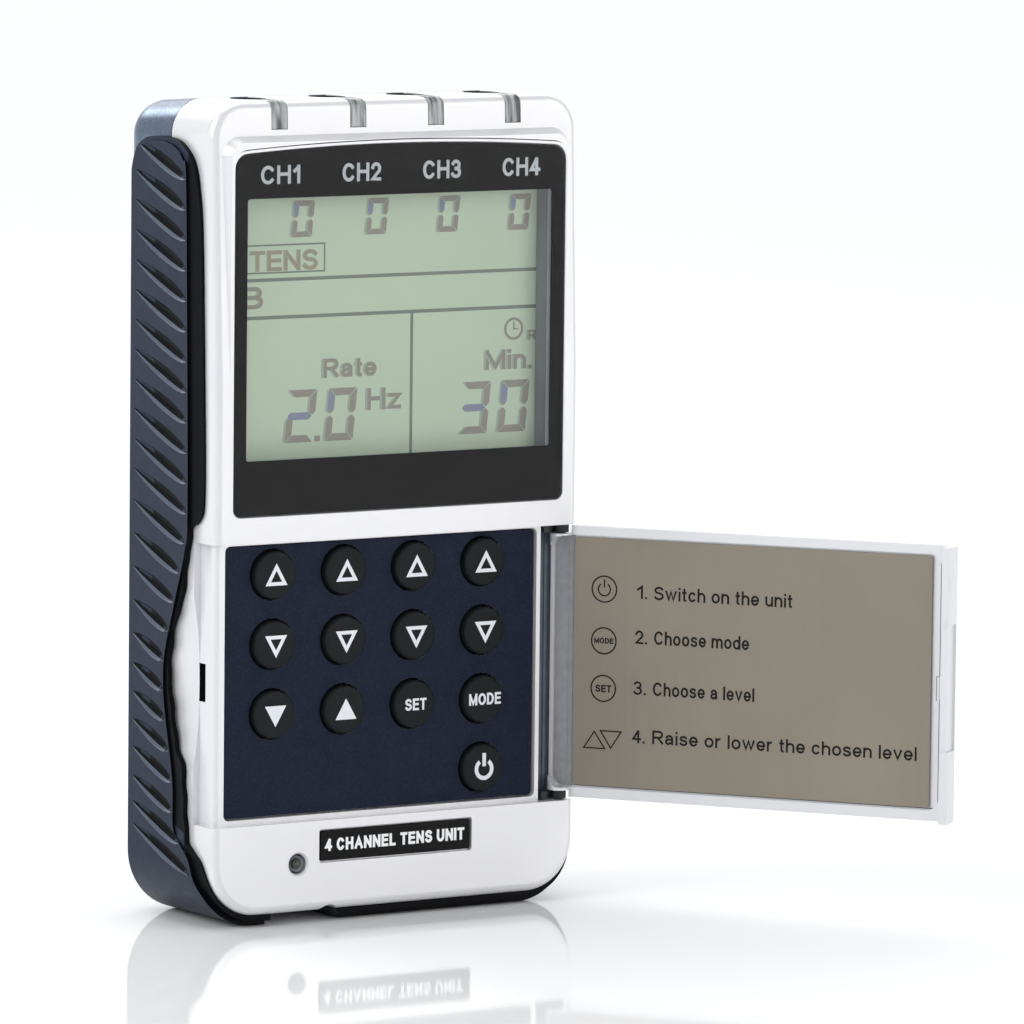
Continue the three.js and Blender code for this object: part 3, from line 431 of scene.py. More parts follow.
class Print:
    """Marks in a plane's own right-hand and upward millimetres, made as thin closed plates."""

    def __init__(self, origin, right, up):
        self.origin = Vector(origin)
        self.right = Vector(right)
        self.up = Vector(up)
        self.out = self.right.cross(self.up)
        self.verts = []
        self.faces = []
        self.rise = 0

    def at(self, u, v, w):
        return self.origin + self.right * u + self.up * v + self.out * (w + self.rise)

    def plate(self, outline):
        base = len(self.verts)
        count = len(outline)
        for w in (0, PRINT_THICKNESS):
            self.verts.extend(self.at(u, v, w) for u, v in outline)
        self.faces.append([base + i for i in range(count)][::-1])
        self.faces.append([base + count + i for i in range(count)])
        for i in range(count):
            j = (i + 1) % count
            self.faces.append([base + i, base + j, base + count + j, base + count + i])

    def band(self, outer, inner, closed=True):
        """The strip between two outlines of equal length."""
        base = len(self.verts)
        count = len(outer)
        for w in (0, PRINT_THICKNESS):
            self.verts.extend(self.at(u, v, w) for u, v in outer)
            self.verts.extend(self.at(u, v, w) for u, v in inner)
        low_out, low_in, high_out, high_in = (base + k * count for k in range(4))
        for i in range(count if closed else count - 1):
            j = (i + 1) % count
            self.faces.append([low_out + j, low_out + i, low_in + i, low_in + j])
            self.faces.append([high_out + i, high_out + j, high_in + j, high_in + i])
            self.faces.append([low_out + i, low_out + j, high_out + j, high_out + i])
            self.faces.append([low_in + j, low_in + i, high_in + i, high_in + j])
        if not closed:
            end = count - 1
            self.faces.append([low_out, high_out, high_in, low_in])
            self.faces.append([low_out + end, low_in + end, high_in + end, high_out + end])

    def bar(self, u0, u1, v0, v1):
        self.plate([(u0, v0), (u1, v0), (u1, v1), (u0, v1)])

    def ring(self, u, v, radius, stroke, start=0, sweep=360, segments=48):
        """A circle's stroke, or an arc's, with angles in degrees from the right, counter-clockwise."""
        closed = sweep == 360
        inside = radius - stroke
        outer = bow(u, v, radius, radius, start, start + sweep, segments)
        inner = bow(u, v, inside, inside, start, start + sweep, segments)
        if closed:
            outer.pop()
            inner.pop()
        self.band(outer, inner, closed)

    def triangle(self, u, v, half, height, stroke=0.0):
        """Centred on its middle height; a negative height points down."""
        outer = [(u - half, v - height / 2), (u + half, v - height / 2), (u, v + height / 2)]
        if not stroke:
            self.plate(outer)
            return
        slant = math.hypot(half, height)
        inset_base = stroke * math.copysign(1, height)
        inset_side = stroke * slant / half
        tip = height / 2 - math.copysign(inset_side, height)
        base = -height / 2 + inset_base
        inner_half = half * abs(tip - base) / abs(height)
        inner = [(u - inner_half, v + base), (u + inner_half, v + base), (u, v + tip)]
        self.band(outer, inner)

    def stroke(self, points, thickness, closed=False):
        """A line of even thickness through points; an open one ends square, half a thickness further on."""
        self.rise = (self.rise + STROKE_RISE) % (5 * STROKE_RISE)
        half = thickness / 2
        path = [Vector(p) for p in points]
        if not closed:
            path[0] = path[0] + (path[0] - path[1]).normalized() * half
            path[-1] = path[-1] + (path[-1] - path[-2]).normalized() * half
        sides = ([], [])
        for i, here in enumerate(path):
            before = path[i - 1] if i or closed else here
            after = path[(i + 1) % len(path)] if i + 1 < len(path) or closed else here
            come = (here - before).normalized() if here != before else (after - here).normalized()
            leave = (after - here).normalized() if after != here else come
            mid = (come + leave).normalized()
            reach = half / max(come.dot(mid), 0.5)
            for side, sign in zip(sides, (1, -1)):
                side.append((here.x - mid.y * reach * sign, here.y + mid.x * reach * sign))
        self.band(*sides, closed)

    def word(self, text, u0, u1, baseline, cap, thickness):
        """Letters drawn with strokes from u0 to u1, their capitals as tall as cap."""
        total = sum(LETTERS[c][0] + LETTER_GAP if c != " " else WORD_GAP for c in text) - LETTER_GAP
        wide = (u1 - u0) / total
        half = thickness / 2
        u = u0
        for c in text:
            if c == " ":
                u += WORD_GAP * wide
                continue
            width, height, strokes = LETTERS[c]
            across = width * wide - thickness
            along = height * cap - thickness
            for points in strokes:
                placed = [(u + half + x * across, baseline + half + y * along) for x, y in points]
                closed = points[0] == points[-1]
                self.stroke(placed[:-1] if closed else placed, thickness, closed)
            u += (width + LETTER_GAP) * wide

    def digit(self, mark, u0, u1, v0, v1, stroke, lean, gap=0.09):
        """One seven-segment digit; lean shifts the top to the right by that share of the height."""
        middle = (v0 + v1) / 2
        half = stroke / 2
        left, right = u0 + stroke + gap, u1 - stroke - gap
        cell = {
            "top": [(u0 + gap, v1), (u1 - gap, v1), (right, v1 - stroke), (left, v1 - stroke)],
            "base": [(u0 + gap, v0), (u1 - gap, v0), (right, v0 + stroke), (left, v0 + stroke)],
            "mid": lozenge(u0 + half + gap, u1 - half - gap, middle, half),
        }
        for side, edge, inner in (("left", u0, u0 + stroke), ("right", u1, u1 - stroke)):
            tip = (edge + inner) / 2
            for end, sign, far in (("upper", 1, v1), ("lower", -1, v0)):
                cell[side + end] = [
                    (edge, far - sign * gap),
                    (inner, far - sign * (stroke + gap)),
                    (inner, middle + sign * (half + gap)),
                    (tip, middle + sign * gap),
                    (edge, middle + sign * (half + gap)),
                ]
        lit = {
            "0": ["top", "base", "leftupper", "leftlower", "rightupper", "rightlower"],
            "2": ["top", "base", "mid", "leftlower", "rightupper"],
            "3": ["top", "base", "mid", "rightupper", "rightlower"],
        }[mark]
        for key in lit:
            self.plate([(u + (v - v0) * lean, v) for u, v in cell[key]])

    def power(self, u, v, radius, stroke):
        self.ring(u, v, radius, stroke, start=125, sweep=290, segments=36)
        self.bar(u - stroke / 2, u + stroke / 2, v + radius * 0.25, v + radius * 1.45)

    def solid(self):
        return raw(self.verts, self.faces)


def front_print(y):
    return Print((0, y, 0), (1, 0, 0), (0, 0, 1))


# ---------- materials ----------


class Finish:
    """A node material that starts from a Principled shader."""

    def __init__(self, name):
        self.material = bpy.data.materials.new(name)
        self.material.use_nodes = True
        self.tree = self.material.node_tree
        self.shader = self.tree.nodes["Principled BSDF"]
        self.place = self.node("ShaderNodeTexCoord").outputs["Object"]

    def feed(self, socket, value):
        """Links another node's output to a socket, or sets the socket's own value."""
        if isinstance(value, bpy.types.NodeSocket):
            self.tree.links.new(value, socket)
        elif isinstance(value, tuple) and len(value) == 3 and socket.type == "RGBA":
            socket.default_value = (*value, 1)
        else:
            socket.default_value = value

    def node(self, kind, links=None, **values):
        made = self.tree.nodes.new(kind)
        for key, value in values.items():
            setattr(made, key, value)
        for key, value in (links or {}).items():
            self.feed(made.inputs[key], value)
        return made

    def noise(self, scale, detail=2.0, stretch=None):
        place = self.place
        if stretch:
            place = self.node("ShaderNodeMapping", {"Vector": place, "Scale": stretch}).outputs["Vector"]
        noise = self.node("ShaderNodeTexNoise", {"Vector": place, "Scale": scale, "Detail": detail})
        return noise.outputs["Fac"]

    def cells(self, scale):
        return self.node("ShaderNodeTexVoronoi", {"Vector": self.place, "Scale": scale})

    def ramp(self, value, start=0.3, end=0.7, low=0.0, high=1.0):
        links = {"Value": value, "From Min": start, "From Max": end, "To Min": low, "To Max": high}
        return self.node("ShaderNodeMapRange", links).outputs["Result"]

    def uneven(self, scale, low, high, detail=2.0):
        """A value that drifts between low and high from place to place."""
        return self.ramp(self.noise(scale, detail), low=low, high=high)

    def mix(self, factor, a, b):
        return self.node("ShaderNodeMix", {0: factor, 6: a, 7: b}, data_type="RGBA").outputs[2]

    def mottled(self, scale, a, b, detail=4.0):
        """Patches of two colours that run into each other."""
        return self.mix(self.ramp(self.noise(scale, detail)), linear(*a), linear(*b))

    def edges(self, amount):
        """How worn a convex edge is, from 0 to amount, broken up by noise."""
        pointed = self.node("ShaderNodeNewGeometry").outputs["Pointiness"]
        rim = self.ramp(pointed, 0.52, 0.6)
        patchy = self.ramp(self.noise(900.0), 0.35, 0.65, 0.2, amount)
        return self.node("ShaderNodeMath", {0: rim, 1: patchy}, operation="MULTIPLY").outputs["Value"]

    def bump(self, height, depth):
        links = {"Height": height, "Distance": depth * MM}
        self.feed(self.shader.inputs["Normal"], self.node("ShaderNodeBump", links).outputs["Normal"])

    def set(self, **values):
        for key, value in values.items():
            self.feed(self.shader.inputs[key.replace("_", " ")], value)


def linear(*display):
    """Display values from 0 to 255 as linear light."""
    shares = [value / 255 for value in display]
    return tuple(s / 12.92 if s <= 0.04045 else ((s + 0.055) / 1.055) ** 2.4 for s in shares)


def moulded(name, base, shade, rough, grain, depth, gloss=0.5, worn=None, wear=0.3, mottle=90.0):
    """Moulded or printed plastic: mottled colour, uneven gloss, fine grain and rubbed edges."""
    finish = Finish(name)
    colour = finish.mottled(mottle, base, shade)
    if worn:
        colour = finish.mix(finish.edges(wear), colour, linear(*worn))
    fine = finish.noise(grain, 3.0)
    finish.set(Base_Color=colour, Roughness=finish.uneven(mottle * 5, *rough, 3.0), Specular_IOR_Level=gloss)
    finish.bump(fine, depth)
    return finish.material


def flaked(name, base, shade, rough, metallic, flake, bright, gloss=0.5):
    """Paint with fine metal flakes that brighten it point by point."""
    finish = Finish(name)
    speck = finish.cells(4500.0).outputs["Color"]
    split = finish.node("ShaderNodeSeparateColor", {"Color": speck}).outputs["Red"]
    colour = finish.mottled(60.0, base, shade)
    colour = finish.mix(finish.ramp(split, 0.6, 1.0, 0.0, flake), colour, linear(*bright))
    rough = finish.uneven(420.0, *rough, 3.0)
    finish.set(Base_Color=colour, Roughness=rough, Metallic=metallic, Specular_IOR_Level=gloss)
    finish.bump(finish.noise(900.0, 1.0), 0.0003)
    return finish.material


def clear_plastic(name, tint, dark, rough, see_through, stretch=None):
    """Clear moulding: a see-through tint under a glossy skin, with lighter and darker patches drawn out along
    it; on the light pipes these streaks are painted light.
    """
    finish = Finish(name)
    painted_streaks = finish.ramp(finish.noise(1000.0, 2.0, stretch), 0.38, 0.62)
    colour = finish.mix(painted_streaks, linear(*tint), linear(*dark))
    finish.set(Base_Color=colour, Roughness=finish.uneven(800.0, *rough), Alpha=see_through, IOR=1.5)
    finish.bump(finish.noise(900.0), 0.01)
    return finish.material


def window_glass(name):
    """Flat clear lens: light passes, and the skin mirrors the studio."""
    finish = Finish(name)
    clear = finish.node("ShaderNodeBsdfTransparent", {"Color": (0.97, 0.98, 0.975)})
    haze = finish.uneven(300.0, 0.03, 0.07)
    skin = finish.node("ShaderNodeBsdfGlossy", {"Color": (1.0, 1.0, 1.0), "Roughness": haze})
    fresnel = finish.node("ShaderNodeFresnel", {"IOR": 1.26})
    layers = {0: fresnel.outputs[0], 1: clear.outputs[0], 2: skin.outputs[0]}
    both = finish.node("ShaderNodeMixShader", layers)
    finish.feed(finish.tree.nodes["Material Output"].inputs["Surface"], both.outputs[0])
    finish.tree.nodes.remove(finish.shader)
    return finish.material


def metal(name, base, shade, rough, brushed):
    finish = Finish(name)
    streaks = finish.noise(1500.0, 3.0, brushed)
    colour = finish.mottled(150.0, base, shade)
    finish.set(Base_Color=colour, Roughness=finish.ramp(streaks, 0.3, 0.7, *rough), Metallic=1.0)
    finish.bump(streaks, 0.008)
    return finish.material


def crystal_ink(name, base, shade):
    return moulded(name, base, shade, (0.4, 0.55), 3000.0, 0.003, 0.2, mottle=220.0)


def liquid_crystal():
    """Grey-green cell with a fine haze, a slow drift in tone and a faint painted glow."""
    finish = Finish("display_glass")
    finish.set(
        Base_Color=finish.mottled(26.0, (199, 209, 188), (191, 204, 185), 2.0),
        Roughness=finish.uneven(900.0, 0.35, 0.5),
        Specular_IOR_Level=0.2,
        # Painted glow: a little emission brightens the cell, which is no lamp.
        Emission_Color=linear(190, 206, 184),
        Emission_Strength=0.06,
    )
    finish.bump(finish.noise(4000.0), 0.0008)
    return finish.material


def bronze_film():
    """Metallic bronze printed sheet with faint vertical brushing."""
    finish = Finish("door_print")
    brushed = finish.noise(700.0, 3.0, (1, 1, 0.03))
    tone = finish.mottled(45.0, (138, 130, 117), (130, 123, 110), 2.0)
    tone = finish.mix(finish.ramp(brushed, high=0.16), tone, linear(152, 144, 129))
    finish.set(Base_Color=tone, Roughness=finish.ramp(brushed, low=0.42, high=0.55), Metallic=0.25)
    finish.bump(brushed, 0.004)
    return finish.material


def circuit_green():
    """Solder mask with darker traces."""
    finish = Finish("circuit_board")
    traces = finish.cells(300.0).outputs["Distance"]
    colour = finish.mix(finish.ramp(traces, 0.35, 0.5), linear(30, 92, 56), linear(44, 122, 74))
    finish.set(Base_Color=colour, Roughness=finish.uneven(500.0, 0.3, 0.5))
    finish.bump(traces, 0.03)
    return finish.material


def cell_wrap():
    """Battery sleeve: dark body with a copper-coloured band towards one end."""
    finish = Finish("cell_wrap")
    height = finish.node("ShaderNodeSeparateXYZ", {"Vector": finish.place}).outputs["Z"]
    colour = finish.mix(finish.ramp(height, 0.0498, 0.05), linear(36, 38, 42), linear(178, 124, 70))
    finish.set(Base_Color=colour, Roughness=finish.uneven(600.0, 0.25, 0.4), Metallic=0.4)
    finish.bump(finish.noise(1200.0), 0.01)
    return finish.material


# Colours are display values. Two colours mottle together, and a third is on worn edges or flakes; on the pad
# rubber that edge colour is partly wear and partly a painted highlight.
SILVER = flaked("silver_paint", (220, 220, 222), (217, 217, 220), (0.28, 0.3), 0.36, 0.002, (228, 229, 232))
# Grey for the collar round the status lens: the silver painted in shade.
COLLAR_SHADE = flaked("status_collar_painted_shade", (176, 178, 180), (166, 168, 171), (0.3, 0.36), 0.4, 0.02, (206, 208, 210))
SLATE = flaked("slate_paint", (94, 109, 128), (84, 99, 117), (0.24, 0.3), 0.78, 0.25, (150, 166, 186))
NAVY = flaked("navy_plate", (19, 26, 46), (16, 23, 42), (0.42, 0.5), 0.2, 0.16, (52, 62, 90), 0.15)
# Bright metallic colour for the keypad plate's hole walls: a painted highlight for the thin light arcs round
# the keys.
HOLE_WALL_HIGHLIGHT = flaked("hole_wall_painted_highlight", (196, 200, 208), (182, 187, 196), (0.2, 0.28), 0.5, 0.05, (222, 224, 228))

# The pad rubber's lighter colour on convex edges is partly rubbed wear and partly a painted highlight.
PAD_RUBBER = moulded("pad_rubber", (26, 33, 48), (22, 29, 43), (0.4, 0.48), 5200.0, 0.02, 0.125, (58, 66, 82))
# Lighter rubber for the upward-facing flanks of the boot's grooves: a painted highlight.
RIM_HIGHLIGHT_RUBBER = moulded("rubber_painted_highlight", (62, 72, 88), (52, 62, 78), (0.3, 0.4), 5200.0, 0.02, 0.4, (84, 96, 114))
# Near-black rubber for the boot's skirt, used also as painted shade on the grooves' other flanks and on
# front-facing walls.
EDGE_RUBBER_AND_SHADE = moulded("edge_rubber_and_painted_shade", (4, 4, 5), (3, 3, 4), (0.36, 0.46), 5200.0, 0.01, 0.056, (22, 24, 29))
KEY_WORN = (66, 68, 70)
KEY_BLACK = moulded("key_black", (23, 25, 27), (20, 22, 24), (0.5, 0.6), 4200.0, 0.02, 0.16, KEY_WORN, 0.35)
KEY_INK = moulded("key_ink", (228, 231, 236), (220, 224, 230), (0.4, 0.5), 3000.0, 0.005)
MASK = moulded("window_print", (12, 13, 15), (9, 10, 12), (0.5, 0.55), 1200.0, 0.0005, 0.05)
LABEL_INK = moulded("label_ink", (206, 210, 214), (196, 200, 206), (0.4, 0.5), 3000.0, 0.004)
SURROUND = moulded("display_surround", (140, 140, 150), (128, 129, 140), (0.5, 0.65), 2500.0, 0.02)
SOCKET = moulded("socket_black", (22, 20, 20), (16, 14, 14), (0.35, 0.5), 3500.0, 0.01, 0.2, (60, 60, 62))
BADGE = moulded("badge_black", (8, 8, 10), (6, 6, 8), (0.3, 0.4), 2800.0, 0.003, 0.12)
BADGE_INK = moulded("badge_ink", (248, 248, 248), (242, 243, 245), (0.4, 0.5), 3000.0, 0.005)
DOOR_INK = moulded("door_ink", (20, 19, 18), (15, 14, 13), (0.45, 0.6), 3000.0, 0.005, 0.2)
HINGE_WORN = (80, 84, 88)
KNUCKLE = moulded("hinge_black", (20, 21, 23), (14, 15, 17), (0.35, 0.5), 3500.0, 0.01, 0.3, HINGE_WORN, 0.4)
BRACKET = moulded("hinge_strip", (84, 96, 108), (70, 82, 95), (0.35, 0.5), 2600.0, 0.01, mottle=260.0)
# Grey for the door's painted shade lines.
SEAM_SHADE_PAINT = moulded("painted_shadow_seam", (104, 108, 112), (92, 97, 102), (0.5, 0.65), 1500.0, 0.01)
# Grey for the strip beside the door's hinge: the silver painted in shade.
STRIP_SHADE_PAINT = moulded("painted_shade_strip", (146, 148, 150), (134, 137, 140), (0.5, 0.65), 1500.0, 0.05, mottle=700.0)
MAT = moulded("silicone", (110, 114, 118), (98, 102, 108), (0.6, 0.75), 3000.0, 0.02)
DIFFUSER = moulded("backlight_diffuser", (232, 236, 230), (222, 227, 222), (0.45, 0.6), 2500.0, 0.01)

SEGMENT = crystal_ink("segment_grey", (156, 149, 140), (150, 144, 138))
SEGMENT_BLUE = crystal_ink("segment_blue", (144, 146, 172), (138, 141, 168))
SEGMENT_TAN = crystal_ink("segment_tan", (164, 158, 136), (159, 153, 132))
# Darker copies of the segments, shifted a little left: a painted shadow on the cell's backing.
SEGMENT_SHADOW_PAINT = crystal_ink("painted_segment_shadow", (168, 182, 168), (164, 178, 166))
CRYSTAL_LINE = crystal_ink("crystal_line", (128, 136, 128), (122, 130, 124))

WINDOW = window_glass("window_clear")
# The light pipes' drawn-out lighter streaks are painted light, for the light seen inside the clear pipe.
PIPE = clear_plastic("light_pipe_clear", (190, 193, 193), (80, 85, 86), (0.06, 0.16), 0.8, (1, 0.3, 0.12))
STATUS = clear_plastic("status_tint", (66, 74, 64), (52, 60, 52), (0.08, 0.2), 0.93)
STEEL = metal("screw_steel", (168, 171, 175), (146, 149, 154), (0.25, 0.4), (1, 1, 12))
BRASS = metal("contact_brass", (196, 164, 104), (176, 144, 88), (0.28, 0.42), (10, 1, 1))
CRYSTAL = liquid_crystal()
FILM = bronze_film()
BOARD = circuit_green()
WRAP = cell_wrap()


# ---------- front case ----------


def case_outline(inset, drop=0.0):
    low = max(BOTTOM_RADIUS - inset, 0.6)
    high = max(TOP_RADIUS - inset, 0.6)
    return rounded(-HALF + inset, HALF - inset, BOTTOM + inset, TOP - inset - drop, low, high, 14)


def window_outline(grow, lift=0.0):
    """The window's front view, with a crowned top edge and a slightly drawn-in left half."""
    half = WINDOW_HIGH.x + grow
    shoulder = WINDOW_SHOULDER + grow + lift
    corner_steps = 8
    outline = rounded(-half, half, WINDOW_LOW.z - grow, shoulder, 1.4 + grow, WINDOW_CORNER, corner_steps)
    rise = WINDOW_HIGH.z - WINDOW_SHOULDER
    crown_half = half - WINDOW_CORNER
    crown_steps = 24
    crown = []
    for i in range(1, crown_steps):
        x = crown_half * (1 - 2 * i / crown_steps)
        crown.append((x, shoulder + rise * (1 - (x / crown_half) ** 2)))
    right = 2 * (corner_steps + 1)
    whole = [*outline[:right], *crown, *outline[right:]]
    return [(x * WINDOW_LEFT_SHARE if x < 0 else x, z) for x, z in whole]


def case_front_body():
    """The upright shell, trimmed by a slab whose upper front leans back."""
    edge_steps = 6
    rings = [(FRONT + travel, case_outline(inset)) for travel, inset in quarter(FRONT_ROUNDING, edge_steps)]
    straight = stack_y([*rings, (PARTING - PARTING_GAP, case_outline(0))])

    flare = -3
    reach = 40

    def slab(inset):
        return rounded(-HALF + inset, HALF - inset, -reach, TOP - inset, 1, max(TOP_RADIUS - inset, 0.6), 14)

    rings = [(travel, slab(inset)) for travel, inset in quarter(FRONT_ROUNDING, edge_steps)]
    leaning = stack_y([*rings, (FRONT_ROUNDING + 0.05, slab(flare)), (reach, slab(flare))])
    turn = Matrix.Rotation(-LEAN_ANGLE, 4, "X")
    shift = Matrix.Translation((0, FRONT, LEAN_START))
    leaning.data.transform(shift @ turn @ Matrix.Translation((0, 0, -LEAN_START)))
    return common(straight, leaning)


def bezel_body():
    def ring(depth, grow):
        half = BEZEL_HALF + grow
        return (FRONT + depth, rounded(-half, half, LEAN_START - 8, BEZEL_TOP + grow, 1, 3.5 + grow, 12))

    edge = [ring(0, -BEZEL_CHAMFER - 0.12), ring(0.06, -BEZEL_CHAMFER + 0.06)]
    return stack_y([*edge, ring(1.7, -0.05), ring(3, 0.2)])


def recess_core():
    """The keypad's step, with a rounded corner where it wraps on to the left side."""
    corner = 1.1
    back = SIDE_INSET_BACK + 0.2
    wrap = bow(SIDE_INSET + corner, RECESS_FLOOR + corner, corner, corner, 180, 270, 10)
    outline = [(CHANNEL_LEFT, back), (SIDE_INSET, back), *wrap, (CHANNEL_LEFT, RECESS_FLOOR)]
    return prism_z(outline, RECESS_BOTTOM - 0.1, RECESS_TOP + 0.1)


def thumb_scoop():
    """An egg-shaped cutter for the hollow beside the latch slot."""
    steps = 24
    profile = [(math.sin(math.pi * i / steps), -math.cos(math.pi * i / steps)) for i in range(1, steps)]
    scoop = lathe([(0, -1), *profile, (0, 1)], (0, 0, 0), "z", 64)
    middle = Matrix.Translation((-HALF - 1.3, -8.4, 41.6))
    scoop.data.transform(middle @ Matrix.Diagonal((2.6, 8.5, 17, 1)))
    return scoop


def pipe_profile(grow, bend=8):
    """(y, z) outline of a light pipe: the leaning front, the rounded edge and the top."""
    front = FRONT + (PIPE_BOTTOM - LEAN_START) * LEAN_ANGLE - 0.12
    lean = LEAN_ANGLE * (TOP - PIPE_BOTTOM)
    top = TOP + 0.1
    radius = 1.7
    inner = front + 1.5 + grow
    under = top - 1.5 - grow
    back = front + 6 + grow
    arc = bow(front + lean + radius, top - radius, radius, radius, 90, 180, bend)
    foot = PIPE_BOTTOM - grow
    return [(front, foot), (inner, foot), (inner, under), (back, under), (back, top), *arc]


def front_case():
    body = join(case_front_body(), bezel_body())
    inner = HALF - WALL
    upper = rounded(-inner, inner, RECESS_TOP + 2.4, TOP - WALL, 1, TOP_RADIUS - WALL, 6)
    lower = rounded(-inner, inner, BOTTOM + WALL, RECESS_TOP + 3, BOTTOM_RADIUS - WALL, 1, 6)
    body = cut(
        body,
        prism_y(upper, FRONT + 3, PARTING + 1),
        prism_y(lower, KEYPAD_WALL_BACK, PARTING + 1),
        box(-TOP, TOP, -TOP, SIDE_INSET_BACK, RECESS_BOTTOM, RECESS_TOP),
        box(-TOP, SIDE_INSET, -TOP, SIDE_STEP_BACK, RECESS_BOTTOM, RECESS_TOP),
    )
    body = join(body, recess_core())

    opening = rounded(-31, 31, 78.8, 124.5, 1, 1, 5)
    seat = [(y, window_outline(gap)) for y, gap in ((-FAR, 0.16), (FRONT - 0.01, 0.16))]
    seat += [(FRONT + depth, window_outline(0.06)) for depth in (0.12, 1.75)]
    groove = FRONT + 0.3
    line = prism_y(window_outline(0.12, 0.62), -FAR, groove)
    below_line = box(-40, 40, -FAR - 1, 0, 0, WINDOW_SHOULDER - 2)
    line = cut(line, prism_y(window_outline(0.3, 0.26), -FAR - 1, 0), below_line)
    body = cut(
        body,
        prism_y(front_view(PLATE_LOW, PLATE_HIGH, FIT_GAP, 1, 8), -FAR, PLATE_HIGH.y + FIT_GAP),
        gather(bore(spot, KEY_HOLE + 0.1, -14, KEYPAD_WALL_BACK + 1, 48) for spot in KEY_SPOTS.values()),
        box(*LATCH_SLOT),
        thumb_scoop(),
        stack_y(seat),
        line,
        prism_y(opening, -FAR, FRONT + 4),
    )

    reach = PIPE_WIDTH / 2 + 0.06
    rim = [(0, TOP - 4), (SOCKET_HOLE, TOP - 4), (SOCKET_HOLE, TOP - 0.35), (SOCKET_HOLE + 0.35, TOP)]
    rim += [(SOCKET_HOLE + 1, TOP + 1), (0, TOP + 1)]
    body = cut(body, gather(prism_x(pipe_profile(0.05), x - reach, x + reach) for x in CHANNEL_X))
    mouths = [box(x - reach, x + reach, -FAR, -14.2, PIPE_BOTTOM - 0.05, TOP + 1) for x in CHANNEL_X]
    body = cut(body, gather(mouths))
    lens = centre("status_lens")
    lens_hole = [(0, -20), (2.2, -20), (2.05, FRONT), (1.75, FRONT + 0.35)]
    lens_hole += [(1.72, FRONT + 5.5), (0, FRONT + 5.5)]
    body = cut(
        body,
        gather(lathe(rim, (x, SOCKET_Y, 0), "z", 56) for x in CHANNEL_X),
        prism_y(front_view(BADGE_LOW, BADGE_HIGH, FIT_GAP, 0.5, 4), -FAR, FRONT + 0.8),
        lathe(lens_hole, (lens.x, 0, lens.z), "y", 40),
        rod((-13.1, 0, 0.6), 2.3, -FAR, -10, "y", 40),
        rod(HINGE_AT, HINGE_BORE, RECESS_TOP - 1, RECESS_TOP + 3.4, "z", 24),
        rod(HINGE_AT, HINGE_BORE, RECESS_BOTTOM - 3.4, RECESS_BOTTOM + 1, "z", 24),
    )
    piece(body, "front_case_shell", "unit", [SILVER, SOCKET], ["front_case"], edge=0.16)
    # Faces inside the latch slot and on the floor of the groove above the window get the black socket plastic
    # as painted shade.
    for face in body.data.polygons:
        corners = [body.data.vertices[i].co / MM for i in face.vertices]
        in_slot = all(-36.2 < c.x < -34.2 and -11.2 < c.y < -9.05 and 38.4 < c.z < 45.1 for c in corners)
        in_groove = all(abs(c.y - groove) < 0.02 and c.z > WINDOW_SHOULDER - 2.2 for c in corners)
        if in_slot or in_groove:
            face.material_index = 1


# ---------- rear case, battery bay and its cover ----------


def rear_case():
    rings = [(PARTING + PARTING_GAP, case_outline(0))]
    for travel, inset in reversed(quarter(REAR_ROUNDING, 12)):
        rings.append((BACK - travel, case_outline(inset, REAR_TOP_DROP)))
    hollow = [
        (PARTING - 1, case_outline(WALL)),
        (BACK - REAR_ROUNDING + 0.4, case_outline(WALL)),
        (BACK - WALL, case_outline(REAR_ROUNDING - 1.2)),
    ]
    body = cut(stack_y(rings), stack_y(hollow))

    bay = 31.6
    skin = 1.4
    low = COVER_LOW.z + 1.9
    high = COVER_HIGH.z - 1.9
    body = join(body, box(-bay - skin, bay + skin, -3.2, BACK - 1.5, low - skin, high + skin))
    ledge = front_view(COVER_LOW, COVER_HIGH, FIT_GAP, 2.3, 10)
    body = cut(body, box(-bay, bay, -1.9, BACK + 1, low, high), prism_y(ledge, BACK - 2.1, BACK + 1))

    spots = [centre(name) for name in SCREWS]
    body = join(body, gather(bore(at, 3.4, PARTING + 0.15, BACK - 1.6) for at in spots))
    heads = gather(bore(at, 2.7, 7, BACK + 1) for at in spots)
    shanks = gather(bore(at, 1.5, 0, 8, 32) for at in spots)
    relief = lathe([(0, 0), (5.2, 0), (6.0, 0.5), (6.5, 1.2), (0, 1.2)], (0, BACK - 1, COVER_HIGH.z + 2.3))
    body = cut(body, heads, shanks, relief)
    piece(body, "rear_case_shell", "unit", SLATE, ["rear_case"], edge=0.18)


def battery_cover():
    def ring(depth, inset):
        x = COVER_HIGH.x - inset
        return (BACK - depth, rounded(-x, x, COVER_LOW.z + inset, COVER_HIGH.z - inset, 2, 2, 10))

    body = stack_y([ring(1.8, 0), ring(0.25, 0), ring(0.07, 0.08), ring(0, 0.28)])
    grips = []
    for i in range(5):
        z = COVER_HIGH.z - 10.1 + i * 1.7
        grips.append(prism_y(rounded(-8, 8, z, z + 0.8, 0.39, 0.39, 6), BACK - 0.4, BACK + 1))
    body = cut(body, gather(grips))
    piece(body, "battery_cover_panel", "battery_cover", SLATE, ["battery_door"], edge=0.1)


def screws():
    """Pan heads with a cross slot."""
    for name in SCREWS:
        at = centre(name)
        low, high = span(name)
        shoulder = high.y - 1.7
        shank = [(0, low.y), (1.15, low.y), (1.15, shoulder)]
        crown = [(2.4, shoulder), (2.4, high.y - 0.5), (2.2, high.y - 0.2), (1.7, high.y), (0, high.y)]
        head = lathe([*shank, *crown], (at.x, 0, at.z), "y", 40)
        for wide, tall in ((1.5, 0.25), (0.25, 1.5)):
            cut(head, box(at.x - wide, at.x + wide, high.y - 0.8, high.y + 1, at.z - tall, at.z + tall))
        piece(head, name + "_detail", "unit", STEEL, [name], edge=0.05)


